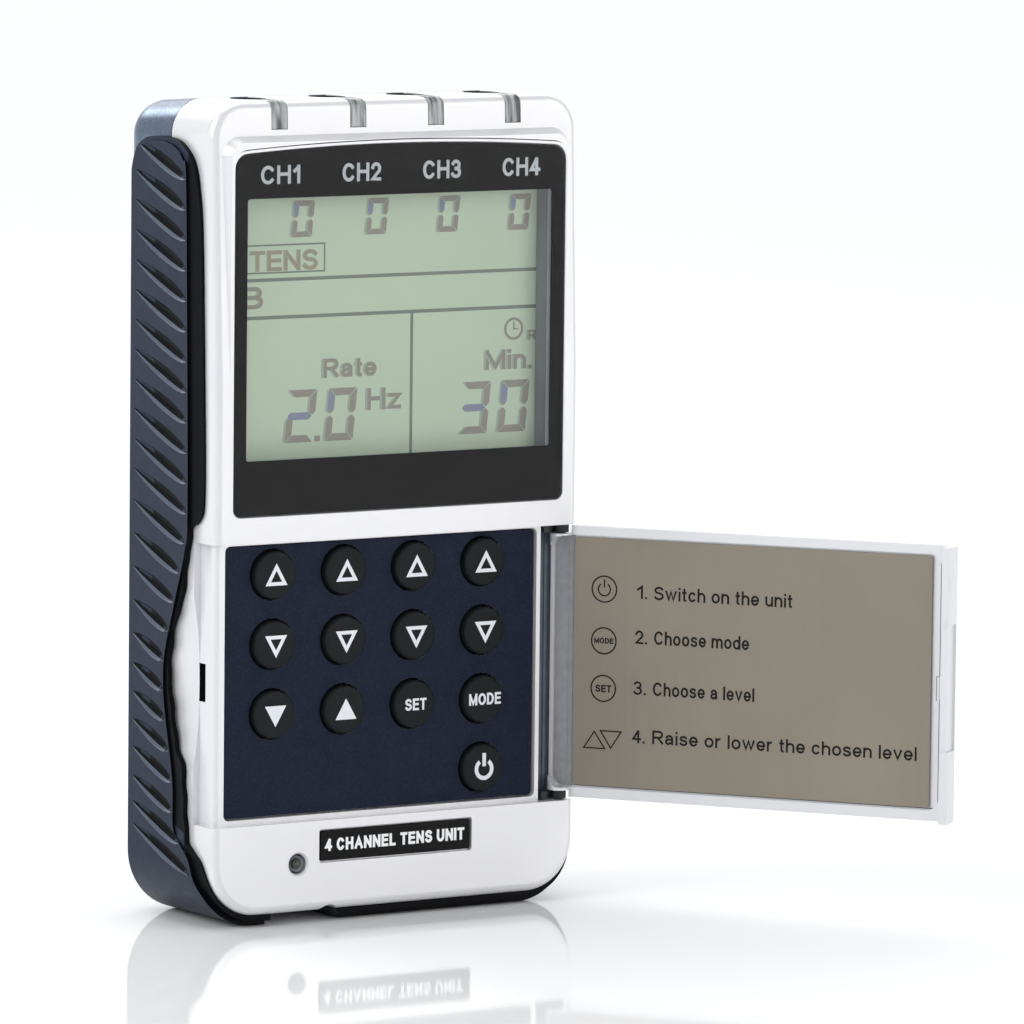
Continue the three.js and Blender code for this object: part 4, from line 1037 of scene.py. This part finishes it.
def batteries():
    """Four AA cells, every second one with its button downwards."""
    for i in (1, 2, 3, 4):
        name = f"battery_cell_{i}"
        low, high = span(name)
        at = centre(name)
        length = high.z - low.z
        radius = (high.x - low.x) / 2
        base = [(0, 0), (5.4, 0), (5.9, 0.5), (radius - 0.25, 0.6), (radius, 0.9)]
        shoulder = [(radius, length - 2.0), (radius - 0.3, length - 1.5), (6.2, length - 1.35)]
        button = [(2.8, length - 1.25), (2.7, length - 0.2), (2.5, length), (0, length)]
        profile = [*base, *shoulder, *button]
        if i % 2 == 0:
            profile = [(r, length - h) for r, h in reversed(profile)]
        body = lathe(profile, (at.x, at.y, low.z), "z", 56)
        piece(body, name + "_detail", "unit", [WRAP, STEEL], [name])
        second_material(body, lambda middle, normal: abs(normal.z) > 0.9)


# ---------- rubber boot ----------

# (y, z) points of the two front edges seen from the side, from the rear top round to the base.
SKIRT_EDGE = [
    (10.2, 128.4), (8.9, 131.2), (5.2, 133.2), (-0.4, 133.6), (-4.7, 133.2), (-8, 131.5), (-10, 129.2),
    (-11.2, 125.3), (-12.2, 117.8), (-13, 95), (-13.4, 74), (-12.1, 69.5), (-9.2, 67.7), (-8.2, 62.5),
    (-6.9, 56.1), (-4.4, 51.4), (-3, 46.4), (-2.7, 41.8), (-4.2, 34.4), (-5.6, 29.9), (-7.4, 27.2),
    (-8, 21.6), (-8.8, 15), (-10.5, 13.1), (-13.2, 11.2), (-14.6, 8), (-15.2, 3), (-15.2, -1),
]
PAD_EDGE = [
    (10.1, 127.5), (8.8, 130.6), (5.7, 132.3), (0.7, 132.9), (-2.6, 132.6), (-5.3, 131.6), (-7, 130),
    (-8, 127.5), (-8.6, 106.6), (-9.2, 71), (-8.3, 64), (-5.2, 55.4), (-2, 46.5), (-1.4, 41.3),
    (-2.1, 35.8), (-4.7, 24.5), (-5, 16.6), (-7.4, 13.8), (-10.1, 11.4), (-11.2, 8), (-12.6, 4.4),
    (-13.2, -1),
]
PAD_PROUD = 1.35
GROOVES = 24
GROOVE_TOP = 127.0
GROOVE_PITCH = 5.13
GROOVE_TILT = 0.33
GROOVE_REAR = 8.8
GROOVE_HALF_WIDTH = 1.95
GROOVE_DEPTH = 1.15
TIP_INSET = 0.3
WAVY_FROM = 14
WAVY_TO = 69


def side_body(edge, rear, wave=0.0, shift=0.0):
    """Everything behind an edge; its lower stretch waves in step with the grooves."""
    outline = []
    for y, z in smooth(edge):
        swing = wave if WAVY_FROM < z < WAVY_TO else 0
        outline.append((y + shift + swing * math.cos(2 * math.pi * (z - GROOVE_TOP) / GROOVE_PITCH), z))
    return prism_x([*outline, (rear, -1), (rear, edge[0][1])], -50, 50)


def boot_band(rings):
    """A U-shaped band round the case; rings hold (y, how far it stands proud, height of its base)."""
    gap = 0.12

    def outer(proud, base):
        radius = BOTTOM_RADIUS + max(proud, BOTTOM - base)
        return rounded(-HALF - proud, HALF + proud, base, TOP + 1, radius, TOP_RADIUS, 16)

    band = stack_y([(y, outer(proud, base)) for y, proud, base in rings])
    hollow = rounded(-HALF - gap, HALF + gap, BOTTOM - gap, TOP + 30, BOTTOM_RADIUS + gap, 1, 16)
    return cut(band, prism_y(hollow, -FAR, FAR))


def edge_at(edge, z):
    for (y0, z0), (y1, z1) in zip(edge, edge[1:]):
        if z0 >= z >= z1:
            return y0 + (y1 - y0) * (z0 - z) / max(z0 - z1, 1e-6)
    return edge[-1][0]


def leaf(side, tip_z):
    """A leaf-shaped cutter with a sharp keel, its front tip low and its rear tip high."""
    tip_y = edge_at(PAD_EDGE, tip_z) + TIP_INSET
    length = max((GROOVE_REAR - tip_y) / math.cos(GROOVE_TILT), 5)
    along = Vector((0, math.cos(GROOVE_TILT), math.sin(GROOVE_TILT)))
    across = Vector((0, -math.sin(GROOVE_TILT), math.cos(GROOVE_TILT)))
    out = Vector((side, 0, 0))
    start = Vector((side * (HALF + PAD_PROUD), tip_y, tip_z))
    section = [(1.2, None), (0.6, 0.7), (-0.1, 1), (-0.6, 0.62), (-0.92, 0.12), (-1.1, None)]
    steps = 18
    rings = []
    for i in range(steps + 1):
        t = 0.004 + 0.992 * i / steps
        swell = 1.5 * t**0.44 * (1 - t) ** 0.74
        spine = start + along * (length * t)
        half = GROOVE_HALF_WIDTH * swell
        deep = GROOVE_DEPTH * swell
        depths = [0.3 if d is None else -deep * d for w, d in section]
        rings.append([spine + across * half * w + out * d for (w, _), d in zip(section, depths)])
    return loft(rings)


def boot():
    flare = [(-15.6, 0.3, 1.0), (-13.5, 0.42, 0.8), (-8, 0.95, 0.6), (9, 0.95, 0.6), (11.6, 0.6, 0.9)]
    skirt = boot_band(flare)
    skirt = common(skirt, side_body(SKIRT_EDGE, 10.2, 0.18, 0.35))
    pad = boot_band([(-15.6, PAD_PROUD, 0), (11.6, PAD_PROUD, 0)])
    pad = common(pad, side_body(PAD_EDGE, 10.1))
    body = join(skirt, pad)

    tips = [GROOVE_TOP - GROOVE_PITCH * i for i in range(GROOVES)]
    leaves = [leaf(side, tip) for side in (-1, 1) for tip in tips]
    across = (0, -math.sin(GROOVE_TILT), math.cos(GROOVE_TILT))
    spines = [tip - (edge_at(PAD_EDGE, tip) + TIP_INSET) * math.tan(GROOVE_TILT) for tip in tips]
    spines = [spines[0] + GROOVE_PITCH, *spines, spines[-1] - GROOVE_PITCH]
    body = sliced(body, [(0, 0, (a + b) / 2) for a, b in zip(spines, spines[1:])], across)
    body = combine(body, "DIFFERENCE", gather(leaves), solver="EXACT")
    body = cut(body, prism_y([(-24.6, -1), (-9, -1), (-12, 2.5), (-24.2, 2.5)], -FAR, -3))
    rubbers = [PAD_RUBBER, EDGE_RUBBER_AND_SHADE, RIM_HIGHLIGHT_RUBBER]
    stands_for = ["rubber_boot"]
    piece(body, "grip_boot", "unit", rubbers, stands_for, edge=0.2, edge_segments=3, sharp=28)

    pad_top = max(z for y, z in PAD_EDGE)
    for face in body.data.polygons:
        y, z = face.center.yz / MM
        normal = face.normal
        on_pad = z < pad_top and y > edge_at(PAD_EDGE, z) - 0.15
        # Front-facing walls and the grooves' flanks get the near-black rubber as painted shade, and flanks
        # that face up get the lighter rubber as a painted highlight.
        on_leaf = 0.15 < abs(normal.x) < 0.985 and abs(normal.y) > 0.03
        faces_front = normal.y < -0.6 and not on_leaf
        if not on_pad or faces_front:
            face.material_index = 1
        elif on_leaf:
            painted_highlight_side = normal.z > 0.1 and abs(normal.x) < 0.84
            face.material_index = 2 if painted_highlight_side else 1


# ---------- display ----------

MASK_FRONT = WINDOW_LOW.y + 0.12
DIGIT_LEAN = 0.1
SMALL_DIGITS = [(-16.9, 116.75), (-2.1, 116.75), (12.3, 116.7), (26.75, 116.6)]
SMALL_SIZE = (4.0, 6.2, 0.95)
LARGE_DIGITS = [("2", -20.3, 81.85), ("0", -12.3, 81.85), ("3", 14.75, 81.75), ("0", 22.65, 81.75)]
LARGE_SIZE = (5.6, 8.95, 1.25)
SHADOW_SHIFT = -0.42
BOLDNESS = 0.19
MODE_NAME = ("TENS", -27.3, -13.9, 111.15, 3.5)
CRYSTAL_WORDS = [
    ("B", -28.5, -24.7, 104.85, 3.75),
    ("Rate", -12.6, -2.0, 92.6, 3.3),
    ("Hz", -3.8, 3.0, 86.75, 3.75),
    ("Min.", 20.1, 29.6, 92.6, 3.45),
    ("R", 28.8, 30.5, 97.5, 1.7),
]


def display():
    soft_edge = ((0, 0.16), (0.05, 0.05), (0.16, 0))
    lens = [(WINDOW_LOW.y + depth, window_outline(-inset)) for depth, inset in soft_edge]
    lens.append((WINDOW_HIGH.y, window_outline(0)))
    piece(stack_y(lens), "window_lens", "unit", WINDOW, ["display_window"])

    mask = prism_y(window_outline(-0.12), MASK_FRONT, MASK_FRONT + 0.25)
    mask = cut(mask, prism_y(rounded(*APERTURE, 0.5, 0.5, 4), -FAR, -10))
    piece(mask, "window_mask", "unit", MASK, ["display_mask"])

    labels = front_print(MASK_FRONT - 0.005)
    pitch = 16.08
    half = 3.85
    for i in range(4):
        x = (i - 1.5) * pitch + 0.18
        labels.word(f"CH{i + 1}", x - half, x + half, 126.2, 3.15, 0.58)
    piece(labels.solid(), "channel_labels", "unit", LABEL_INK)

    low, high = span("display_frame")
    sleeve = prism_y(rounded(-30.95, 30.95, 78.85, 124.45, 0.9, 0.9, 5), MASK_FRONT + 0.4, low.y + 0.2)
    body = join(box(low.x, high.x, low.y, high.y, low.z, high.z), sleeve)
    body = cut(body, prism_y(rounded(-30.7, 30.05, 79.1, 124.2, 0.6, 0.6, 5), -FAR, 0))
    body = cut(body, box(-32.3, 32.3, GLASS_FACE - 0.3, 0, 77.8, 125.6))
    piece(body, "display_light_box", "unit", SURROUND, ["display_frame"], edge=0.05)


def crystal_digits(marks, shift=0.0):
    wide, tall, stroke = SMALL_SIZE
    for x, base in SMALL_DIGITS:
        u = x - 2.3 + shift
        marks.digit("0", u, u + wide, base, base + tall, stroke, DIGIT_LEAN, 0.1)
    wide, tall, stroke = LARGE_SIZE
    for mark, x, base in LARGE_DIGITS:
        marks.digit(mark, x + shift, x + wide + shift, base, base + tall, stroke, DIGIT_LEAN, 0.12)


def crystal_words(marks, words, shift=0.0):
    for text, u0, u1, baseline, cap in words:
        marks.word(text, u0 + shift, u1 + shift, baseline, cap, cap * BOLDNESS)


def blue_segments():
    """Middle bars of the 2 and 3 and the zeros' upper left uprights, which look bluer than the rest."""
    blue = front_print(GLASS_FACE - 0.018)
    tall = LARGE_SIZE[1]
    for mark, x, base in LARGE_DIGITS:
        if mark != "0":
            lean = (tall / 2) * DIGIT_LEAN
            blue.plate(lozenge(x + 0.1 + lean, x + 4.9 + lean, base + tall / 2, 0.62))
    uprights = [(x - 2.3, base, SMALL_SIZE) for x, base in SMALL_DIGITS]
    uprights += [(x, base, LARGE_SIZE) for mark, x, base in LARGE_DIGITS if mark == "0"]
    for x, base, (_, tall, stroke) in uprights:
        foot = base + tall / 2 + stroke * 0.62
        head = base + tall - stroke * 0.75
        low = x + (foot - base) * DIGIT_LEAN
        high = x + (head - base) * DIGIT_LEAN
        slant = [(high + stroke, head - stroke * 0.35), (high, head + stroke * 0.5)]
        blue.plate([(low, foot), (low + stroke, foot), *slant])
    return blue


def crystal_lines():
    lines = front_print(GLASS_FACE - 0.006)
    lines.bar(-31.8, 31.8, 109.4, 109.98)
    lines.bar(-31.8, 31.8, 103.0, 103.6)
    lines.bar(4.72, 5.28, 78.4, 103.1)
    left, right, low, high = -29.2, -12.45, 110.75, 115.7
    stroke = 0.28
    outer = [(left, low), (right, low), (right, high), (left, high)]
    inner = [(left + stroke, low + stroke), (right - stroke, low + stroke)]
    inner += [(right - stroke, high - stroke), (left + stroke, high - stroke)]
    lines.band(outer, inner)
    return lines


def crystal_marks():
    """Everything the liquid crystal shows, with a painted soft shadow that it throws on its own backing:
    darker copies set a little to the left.
    """
    plane = front_print(GLASS_FACE - 0.01)
    crystal_digits(plane)
    plane.bar(-14.35, -13.25, 81.9, 82.85)
    crystal_words(plane, CRYSTAL_WORDS)
    plane.ring(25.75, 99.55, 1.95, 0.46)
    plane.bar(25.65, 25.9, 99.5, 100.75)
    plane.bar(25.65, 26.6, 99.4, 99.62)
    mode_name = front_print(GLASS_FACE - 0.018)
    crystal_words(mode_name, [MODE_NAME])
    shadows = front_print(GLASS_FACE - 0.003)
    crystal_digits(shadows, SHADOW_SHIFT)
    crystal_words(shadows, CRYSTAL_WORDS, SHADOW_SHIFT)
    crystal_words(shadows, [MODE_NAME], -0.2)
    piece(mode_name.solid(), "crystal_mode_name", "unit", SEGMENT_TAN)
    piece(plane.solid(), "crystal_segments", "unit", SEGMENT)
    piece(blue_segments().solid(), "crystal_blue_segments", "unit", SEGMENT_BLUE)
    piece(shadows.solid(), "crystal_shadows", "unit", SEGMENT_SHADOW_PAINT)
    piece(crystal_lines().solid(), "crystal_lines", "unit", CRYSTAL_LINE)


# ---------- keypad ----------


def keypad():
    body = prism_y(front_view(PLATE_LOW, PLATE_HIGH, 0, 0.8, 6), PLATE_FACE, PLATE_HIGH.y)
    body = cut(body, gather(bore(spot, KEY_HOLE, -FAR, -5, 72) for spot in KEY_SPOTS.values()))
    piece(body, "keypad_fascia", "unit", [NAVY, HOLE_WALL_HIGHLIGHT], ["keypad_plate"], edge=0.1)

    # The hole walls get the bright material as a painted highlight for the light caught at the holes' rims.
    def on_hole_wall(middle, normal):
        near = min(math.hypot(middle.x - spot.x, middle.z - spot.z) for spot in KEY_SPOTS.values())
        return near < KEY_HOLE + 0.05 and abs(normal.y) < 0.5 and middle.y < PLATE_FACE + 0.8

    second_material(body, on_hole_wall)
    for name in KEY_SPOTS:
        key_cap(name)


def key_cap(name):
    low, high = span(name)
    at = KEY_SPOTS[name]
    face = low.y
    rim = face + 0.02
    back = high.y - 0.05
    flange = high.y - 0.6
    wide = (high.x - low.x) / 2
    profile = [(0, face), (2.0, face), (KEY_RADIUS - 0.75, rim)]
    profile += [(KEY_RADIUS - inset, rim + travel) for travel, inset in quarter(0.55, 6)[1:]]
    profile += [(KEY_RADIUS, flange), (wide, flange), (wide, back), (0, back)]
    cap = lathe(profile, (at.x, 0, at.z), "y", 72)
    body = name + "_cap"
    piece(cap, name + "_button", body, KEY_BLACK, [name], sharp=50)

    mark = front_print(face - 0.004)
    u = at.x + 0.1
    rising = at.z + 0.12
    falling = at.z - 0.28
    if name.startswith("key_up"):
        mark.triangle(u, rising, 2.18, 3.8, 0.62)
    elif name.startswith("key_down"):
        mark.triangle(u, falling, 2.18, -3.8, 0.62)
    elif name == "key_decrease":
        mark.triangle(u, falling, 2.1, -3.6)
    elif name == "key_increase":
        mark.triangle(u, rising, 2.1, 3.6)
    elif name == "key_power":
        mark.power(u, at.z - 0.2, 1.92, 0.72)
    elif name == "key_set":
        mark.word("SET", u - 2.15, u + 2.15, at.z - 1.0, 2.05, 0.4)
    else:
        mark.word("MODE", u - 3.2, u + 3.3, at.z - 0.95, 2.05, 0.4)
    piece(mark.solid(), name + "_symbol", body, KEY_INK)


# ---------- connectors, lights and badge ----------


def connectors():
    bore_radius = 3.1
    collar = SOCKET_HOLE - 0.06
    for i, x in enumerate(CHANNEL_X, 1):
        name = f"output_socket_{i}"
        low, high = span(name)
        wide = (high.x - low.x) / 2
        outside = [(0, low.z), (wide, low.z), (wide, high.z), (collar, high.z), (collar, TOP - 0.1)]
        inside = [(bore_radius + 0.05, TOP - 0.1), (bore_radius, TOP - 0.3)]
        inside += [(bore_radius, low.z + 2), (0, low.z + 2)]
        bush = lathe([*outside, *inside], (x, SOCKET_Y, 0), "z", 56)
        piece(bush, name + "_bush", "unit", SOCKET, [name])

        name = f"light_pipe_{i}"
        pipe = prism_x(pipe_profile(0, 10), x - PIPE_WIDTH / 2, x + PIPE_WIDTH / 2)
        label = name + "_moulding"
        piece(pipe, label, "unit", PIPE, [name], edge=0.28, edge_segments=3, sharp=50)


def badge():
    face = BADGE_LOW.y
    sides = [(face, 0.14), (face + 0.05, 0.05), (face + 0.15, 0), (BADGE_HIGH.y, 0)]
    body = stack_y([(y, front_view(BADGE_LOW, BADGE_HIGH, -inset, 0.4, 4)) for y, inset in sides])
    piece(body, "badge_plate", "unit", BADGE, ["name_badge"])
    words = front_print(face - 0.004)
    words.word("4 CHANNEL TENS UNIT", -14.2, 13.9, 12.15, 2.15, 0.48)
    piece(words.solid(), "badge_words", "unit", BADGE_INK)


def status_light():
    """A small dome inside a grey collar, a darker copy of the silver that paints the shade on the hole's
    chamfer.
    """
    at = centre("status_lens")
    front, back = LENS_LOW.y, LENS_HIGH.y
    radius = (LENS_HIGH.x - LENS_LOW.x) / 2
    dome = radius - 0.42
    profile = [(0, front)]
    steps = 8
    for i in range(1, steps + 1):
        angle = math.pi / 2 * i / steps
        profile.append((dome * math.sin(angle), front + 0.9 * (1 - math.cos(angle))))
    profile += [(dome + 0.02, front + 1.0), (radius, front + 0.45), (radius, back), (0, back)]
    lens = lathe(profile, (at.x, 0, at.z), "y", 48)
    piece(lens, "status_dome", "unit", [STATUS, COLLAR_SHADE], ["status_lens"], sharp=40)
    second_material(lens, lambda middle, normal: math.hypot(middle.x - at.x, middle.z - at.z) > dome + 0.005)


# ---------- door: drawn shut along -X from its hinge, then turned open about Z ----------

DOOR_BOTTOM = 17.9
DOOR_TOP = 65.3
DOOR_END = -71.9
DOOR_OUTER = -2.0
DOOR_RIM = -0.65
DOOR_FLOOR = -1.2
TRAY_LOW = 19.7
TRAY_HIGH = 63.7
LIP_TIP = 3.0
BARREL = 2.0
EAR = 1.3
FILM_EDGE = -2.2
FILM_FACE = DOOR_FLOOR + 0.5
LATCH_NOTCH = (30.3, 52)
ICON_U = 7.82
DOOR_LINES = [
    ("1.", 13.75, 15.75, 53.15),
    ("Switch on the unit", 17.0, 42.3, 53.1),
    ("2.", 13.6, 15.8, 45.3),
    ("Choose mode", 17.1, 34.5, 45.35),
    ("3.", 13.4, 15.7, 36.45),
    ("Choose a level", 17.0, 35.6, 36.45),
    ("4.", 13.3, 15.6, 28.0),
    ("Raise or lower the chosen level", 17.0, 65.2, 28.05),
]

door_place = Matrix.Translation(HINGE_AT) @ Matrix.Rotation(OPEN_ANGLE, 4, "Z")


def door_piece(body, name, material, stands_for=(), edge=0.0):
    piece(body, name, "keypad_door", material, stands_for, edge, place=door_place)


def door_panel():
    end = DOOR_END
    section = [(0, DOOR_OUTER), (0, DOOR_RIM), (end + 1.5, DOOR_RIM), (end + 1.5, LIP_TIP)]
    section += [(end + 0.3, LIP_TIP), (end + 0.08, LIP_TIP - 0.1), (end, LIP_TIP - 0.3)]
    section += bow(end + 1.3, DOOR_OUTER + 1.3, 1.3, 1.3, 180, 270, 8)
    body = cut(
        prism_z(section, DOOR_BOTTOM, DOOR_TOP),
        box(-1.6, 4, -4, 4, DOOR_TOP - EAR, DOOR_TOP + 1),
        box(-1.6, 4, -4, 4, DOOR_BOTTOM - 1, DOOR_BOTTOM + EAR),
    )
    body = join(body, rod((0, 0, 0), BARREL, DOOR_BOTTOM + EAR, DOOR_TOP - EAR, "z", 48))
    tray = rounded(-69.2, 1.4, TRAY_LOW, TRAY_HIGH, 2.2, 2.2, 10)
    body = cut(
        body,
        prism_y(tray, DOOR_FLOOR, 3),
        box(-0.5, 3, -0.2, 3, TRAY_LOW + 1.8, TRAY_HIGH - 1.8),
        rod((0, 0, 0), HINGE_BORE, DOOR_TOP - 3, DOOR_TOP + 1, "z", 24),
        rod((0, 0, 0), HINGE_BORE, DOOR_BOTTOM - 1, DOOR_BOTTOM + 3, "z", 24),
        box(end - 1, end + 0.35, DOOR_OUTER + 1.4, LIP_TIP + 1, *LATCH_NOTCH),
        box(end - 1, end + 3, LIP_TIP - 0.5, LIP_TIP + 1, *LATCH_NOTCH),
    )
    body = join(body, box(end + 1.3, end + 1.8, 1.6, 2.4, 39.3, 43.2))
    door_piece(body, "door_panel", SILVER, ["door_frame"], 0.16)


def door_painted_shade_seams():
    """Thin dark strips of painted shade where the tray's floor meets its walls, round the latch's root and in
    a small slot mark near the lip's top.
    """
    low, high = DOOR_FLOOR + 0.002, DOOR_FLOOR + 0.02
    seams = [
        box(-68.97, -68.84, low, high, TRAY_LOW + 0.4, TRAY_HIGH - 0.4),
        box(-68.42, -68.3, low, high, 38.5, 42.6),
        box(-68.83, -68.3, low, high, 42.62, 42.74),
        box(-68.8, -2.4, low, high, TRAY_LOW + 0.2, TRAY_LOW + 0.38),
        box(-70.1, -69.4, DOOR_RIM + 0.002, DOOR_RIM + 0.02, 64.4, 64.75),
    ]
    door_piece(gather(seams), "door_painted_shade_seams", SEAM_SHADE_PAINT)


def door_film():
    sheet = rounded(-67.5, -2.3, TRAY_LOW + 0.4, TRAY_HIGH - 0.35, 0.3, 0.3, 3)
    film = prism_y(sheet, FILM_FACE - 0.25, FILM_FACE)
    door_piece(film, "door_film", FILM, ["door_label"], 0.05)


def painted_shade_strip():
    """The grey strip at the film's end beside the hinge, with two fine ribs; the grey is the door's silver
    painted in shade.
    """
    low, high = TRAY_LOW + 0.1, TRAY_HIGH - 0.1
    corner = [(max(x, FILM_EDGE), z) for x, z in rounded(-9, 1.35, low, high, 2.1, 2.1, 10)]
    outline = [p for p, q in zip(corner, [*corner[1:], corner[0]]) if p != q and p[0] > FILM_EDGE]
    outline += [(FILM_EDGE, high), (FILM_EDGE, low)]
    strips = [prism_y(outline, DOOR_FLOOR + 0.01, DOOR_FLOOR + 0.13)]
    rib = (DOOR_FLOOR + 0.132, DOOR_FLOOR + 0.22, TRAY_LOW + 1, TRAY_HIGH - 1)
    for u in (1.05, 1.9):
        strips.append(box(-u - 0.08, -u + 0.08, *rib))
    door_piece(gather(strips), "door_painted_shade_strip", STRIP_SHADE_PAINT)


def door_words():
    plane = Print((0, FILM_FACE + 0.005, 0), (-1, 0, 0), (0, 0, 1))
    for v in (54.5, 45.5, 37.2):
        plane.ring(ICON_U, v, 2.38, 0.25, segments=56)
    plane.power(ICON_U, 54.45, 1.22, 0.24)
    plane.word("MODE", ICON_U - 1.75, ICON_U + 1.75, 45.05, 0.95, 0.2)
    plane.word("SET", ICON_U - 1.45, ICON_U + 1.5, 36.55, 1.25, 0.26)
    plane.triangle(6.26, 28.2, 2.15, 3.2, 0.22)
    plane.triangle(9.31, 28.28, 2.13, -3.25, 0.22)
    for text, u0, u1, baseline in DOOR_LINES:
        plane.word(text, u0, u1, baseline, 2.36, 0.35)
    door_piece(plane.solid(), "door_words", DOOR_INK)


def hinge():
    place = Matrix.Translation(HINGE_AT)
    for name, wall, up, end in (
        ("hinge_pin_top", RECESS_TOP, 1, DOOR_TOP - EAR),
        ("hinge_pin_bottom", RECESS_BOTTOM, -1, DOOR_BOTTOM + EAR),
    ):
        low, high = sorted((end + up * 0.2, wall - up * 0.2))
        pin_low, pin_high = sorted((end - up * 0.15, wall + up * 3))
        body = join(
            rod((0, 0, 0), 0.75, pin_low, pin_high, "z", 32),
            rod((0, 0, 0), 1.3, low, high, "z", 40),
            box(-3.8, -0.01, 0.7, 1.6, low, high),
            box(-3.8, -2.7, -0.35, 2.01, low, high),
        )
        piece(body, name + "_knuckle", "unit", KNUCKLE, [name], edge=0.08, place=place)
    low, high = span("hinge_bracket")
    body = box(low.x, high.x, low.y + 0.3, high.y, low.z, high.z)
    rib = box(low.x + 1.8, low.x + 2.2, low.y, low.y + 0.6, low.z + 1.7, high.z - 1.7)
    piece(join(body, rib), "hinge_strip", "unit", BRACKET, ["hinge_bracket"], edge=0.08)


# ---------- inner parts that keep their CAD shape ----------


def inner_parts():
    for node, material, slot in (
        ("display_glass", CRYSTAL, "display_glass"),
        ("backlight_panel", DIFFUSER, "backlight_diffuser"),
        ("main_board", BOARD, "circuit_board"),
        ("keypad_mat", MAT, "silicone"),
        ("battery_contact_lower", BRASS, "contact_brass"),
        ("battery_contact_upper", BRASS, "contact_brass"),
    ):
        obj = frame["nodes"][node]
        obj.data.materials.clear()
        obj.data.materials.append(material)


# ---------- studio, in metres ----------

MIDDLE = (0, 0, 0.07)
WHITE = (1.0, 1.0, 1.0)
WARM = (1.0, 0.975, 0.94)
# Each light holds its name, place, target, size, power and colour.
LIGHTS = [
    ("softbox_right", (1.15, -1.35, 0.42), MIDDLE, 2.1, 17.0, WARM),
    ("softbox_left", (-1.35, 0.1, 0.95), MIDDLE, 1.1, 14.5, WHITE),
    ("softbox_top", (0.1, 0.5, 1.7), MIDDLE, 1.4, 8.0, WHITE),
    ("softbox_back", (-0.16, 1.3, 0.86), MIDDLE, 0.4, 1.8, WHITE),
    ("background", (1.8, 4.2, 2.5), (1.8, 4.2, 0), 6.0, 170.0, WHITE),
]
FLOOR_REACH = 30.0
SKY_FADE = {"From Min": 0.12, "From Max": 0.8, "To Min": 0.86, "To Max": 0.62}

LENS_LENGTH = 289.28
SENSOR = 36.0
CAMERA_PLACE = Vector((-742.755, -1195.113, 223.473)) * MM
YAW = math.radians(33.0)
PITCH = 0.10988
ROLL = 0.01071


def stage_floor():
    finish = Finish("studio_floor")
    colour = finish.mix(finish.ramp(finish.noise(3.0)), (0.9, 0.903, 0.907), (0.89, 0.893, 0.897))
    finish.set(Base_Color=colour, Roughness=0.05, Specular_IOR_Level=0.3)
    mesh = bpy.data.meshes.new("studio_floor")
    reach = FLOOR_REACH
    corners = [(-reach, -reach, 0), (reach, -reach, 0), (reach, reach, 0), (-reach, reach, 0)]
    mesh.from_pydata(corners, [], [(0, 1, 2, 3)])
    mesh.materials.append(finish.material)
    floor = bpy.data.objects.new("studio_floor", mesh)
    SCENE.collection.objects.link(floor)


def surroundings():
    """Soft light from all round, brightest at the horizon."""
    world = bpy.data.worlds.new("studio")
    world.use_nodes = True
    nodes = world.node_tree.nodes
    links = world.node_tree.links
    sky = nodes["Background"]
    sky.inputs["Color"].default_value = (0.95, 0.97, 1.0, 1)
    split = nodes.new("ShaderNodeSeparateXYZ")
    links.new(nodes.new("ShaderNodeTexCoord").outputs["Generated"], split.inputs["Vector"])
    fade = nodes.new("ShaderNodeMapRange")
    for key, value in SKY_FADE.items():
        fade.inputs[key].default_value = value
    links.new(split.outputs["Z"], fade.inputs["Value"])
    links.new(fade.outputs["Result"], sky.inputs["Strength"])
    SCENE.world = world


def lights():
    for name, place, target, size, power, colour in LIGHTS:
        light = bpy.data.lights.new(name, "AREA")
        light.shape = "SQUARE"
        light.size = size
        light.energy = power
        light.color = colour
        holder = bpy.data.objects.new(name, light)
        holder.location = place
        holder.rotation_mode = "QUATERNION"
        holder.rotation_quaternion = (Vector(target) - Vector(place)).to_track_quat("-Z", "Y")
        SCENE.collection.objects.link(holder)
    SCENE.view_settings.view_transform = "Standard"


def camera():
    ahead = Vector((math.sin(YAW), math.cos(YAW), 0))
    side = Vector((math.cos(YAW), -math.sin(YAW), 0))
    up = Vector((0, 0, 1))
    forward = ahead * math.cos(PITCH) - up * math.sin(PITCH)
    upright = up * math.cos(PITCH) + ahead * math.sin(PITCH)
    right = side * math.cos(ROLL) + upright * math.sin(ROLL)
    above = upright * math.cos(ROLL) - side * math.sin(ROLL)
    lens = bpy.data.cameras.new("camera")
    lens.sensor_width = SENSOR
    lens.lens = LENS_LENGTH
    lens.clip_start = 0.05
    lens.clip_end = 100.0
    eye = bpy.data.objects.new("camera", lens)
    turn = Matrix((right, above, -forward)).transposed().to_4x4()
    eye.matrix_world = Matrix.Translation(CAMERA_PLACE) @ turn
    SCENE.collection.objects.link(eye)
    SCENE.camera = eye


camera()
stage_floor()
surroundings()
lights()
front_case()
rear_case()
battery_cover()
screws()
batteries()
boot()
display()
crystal_marks()
keypad()
connectors()
badge()
status_light()
door_panel()
door_film()
door_painted_shade_seams()
painted_shade_strip()
door_words()
hinge()
inner_parts()
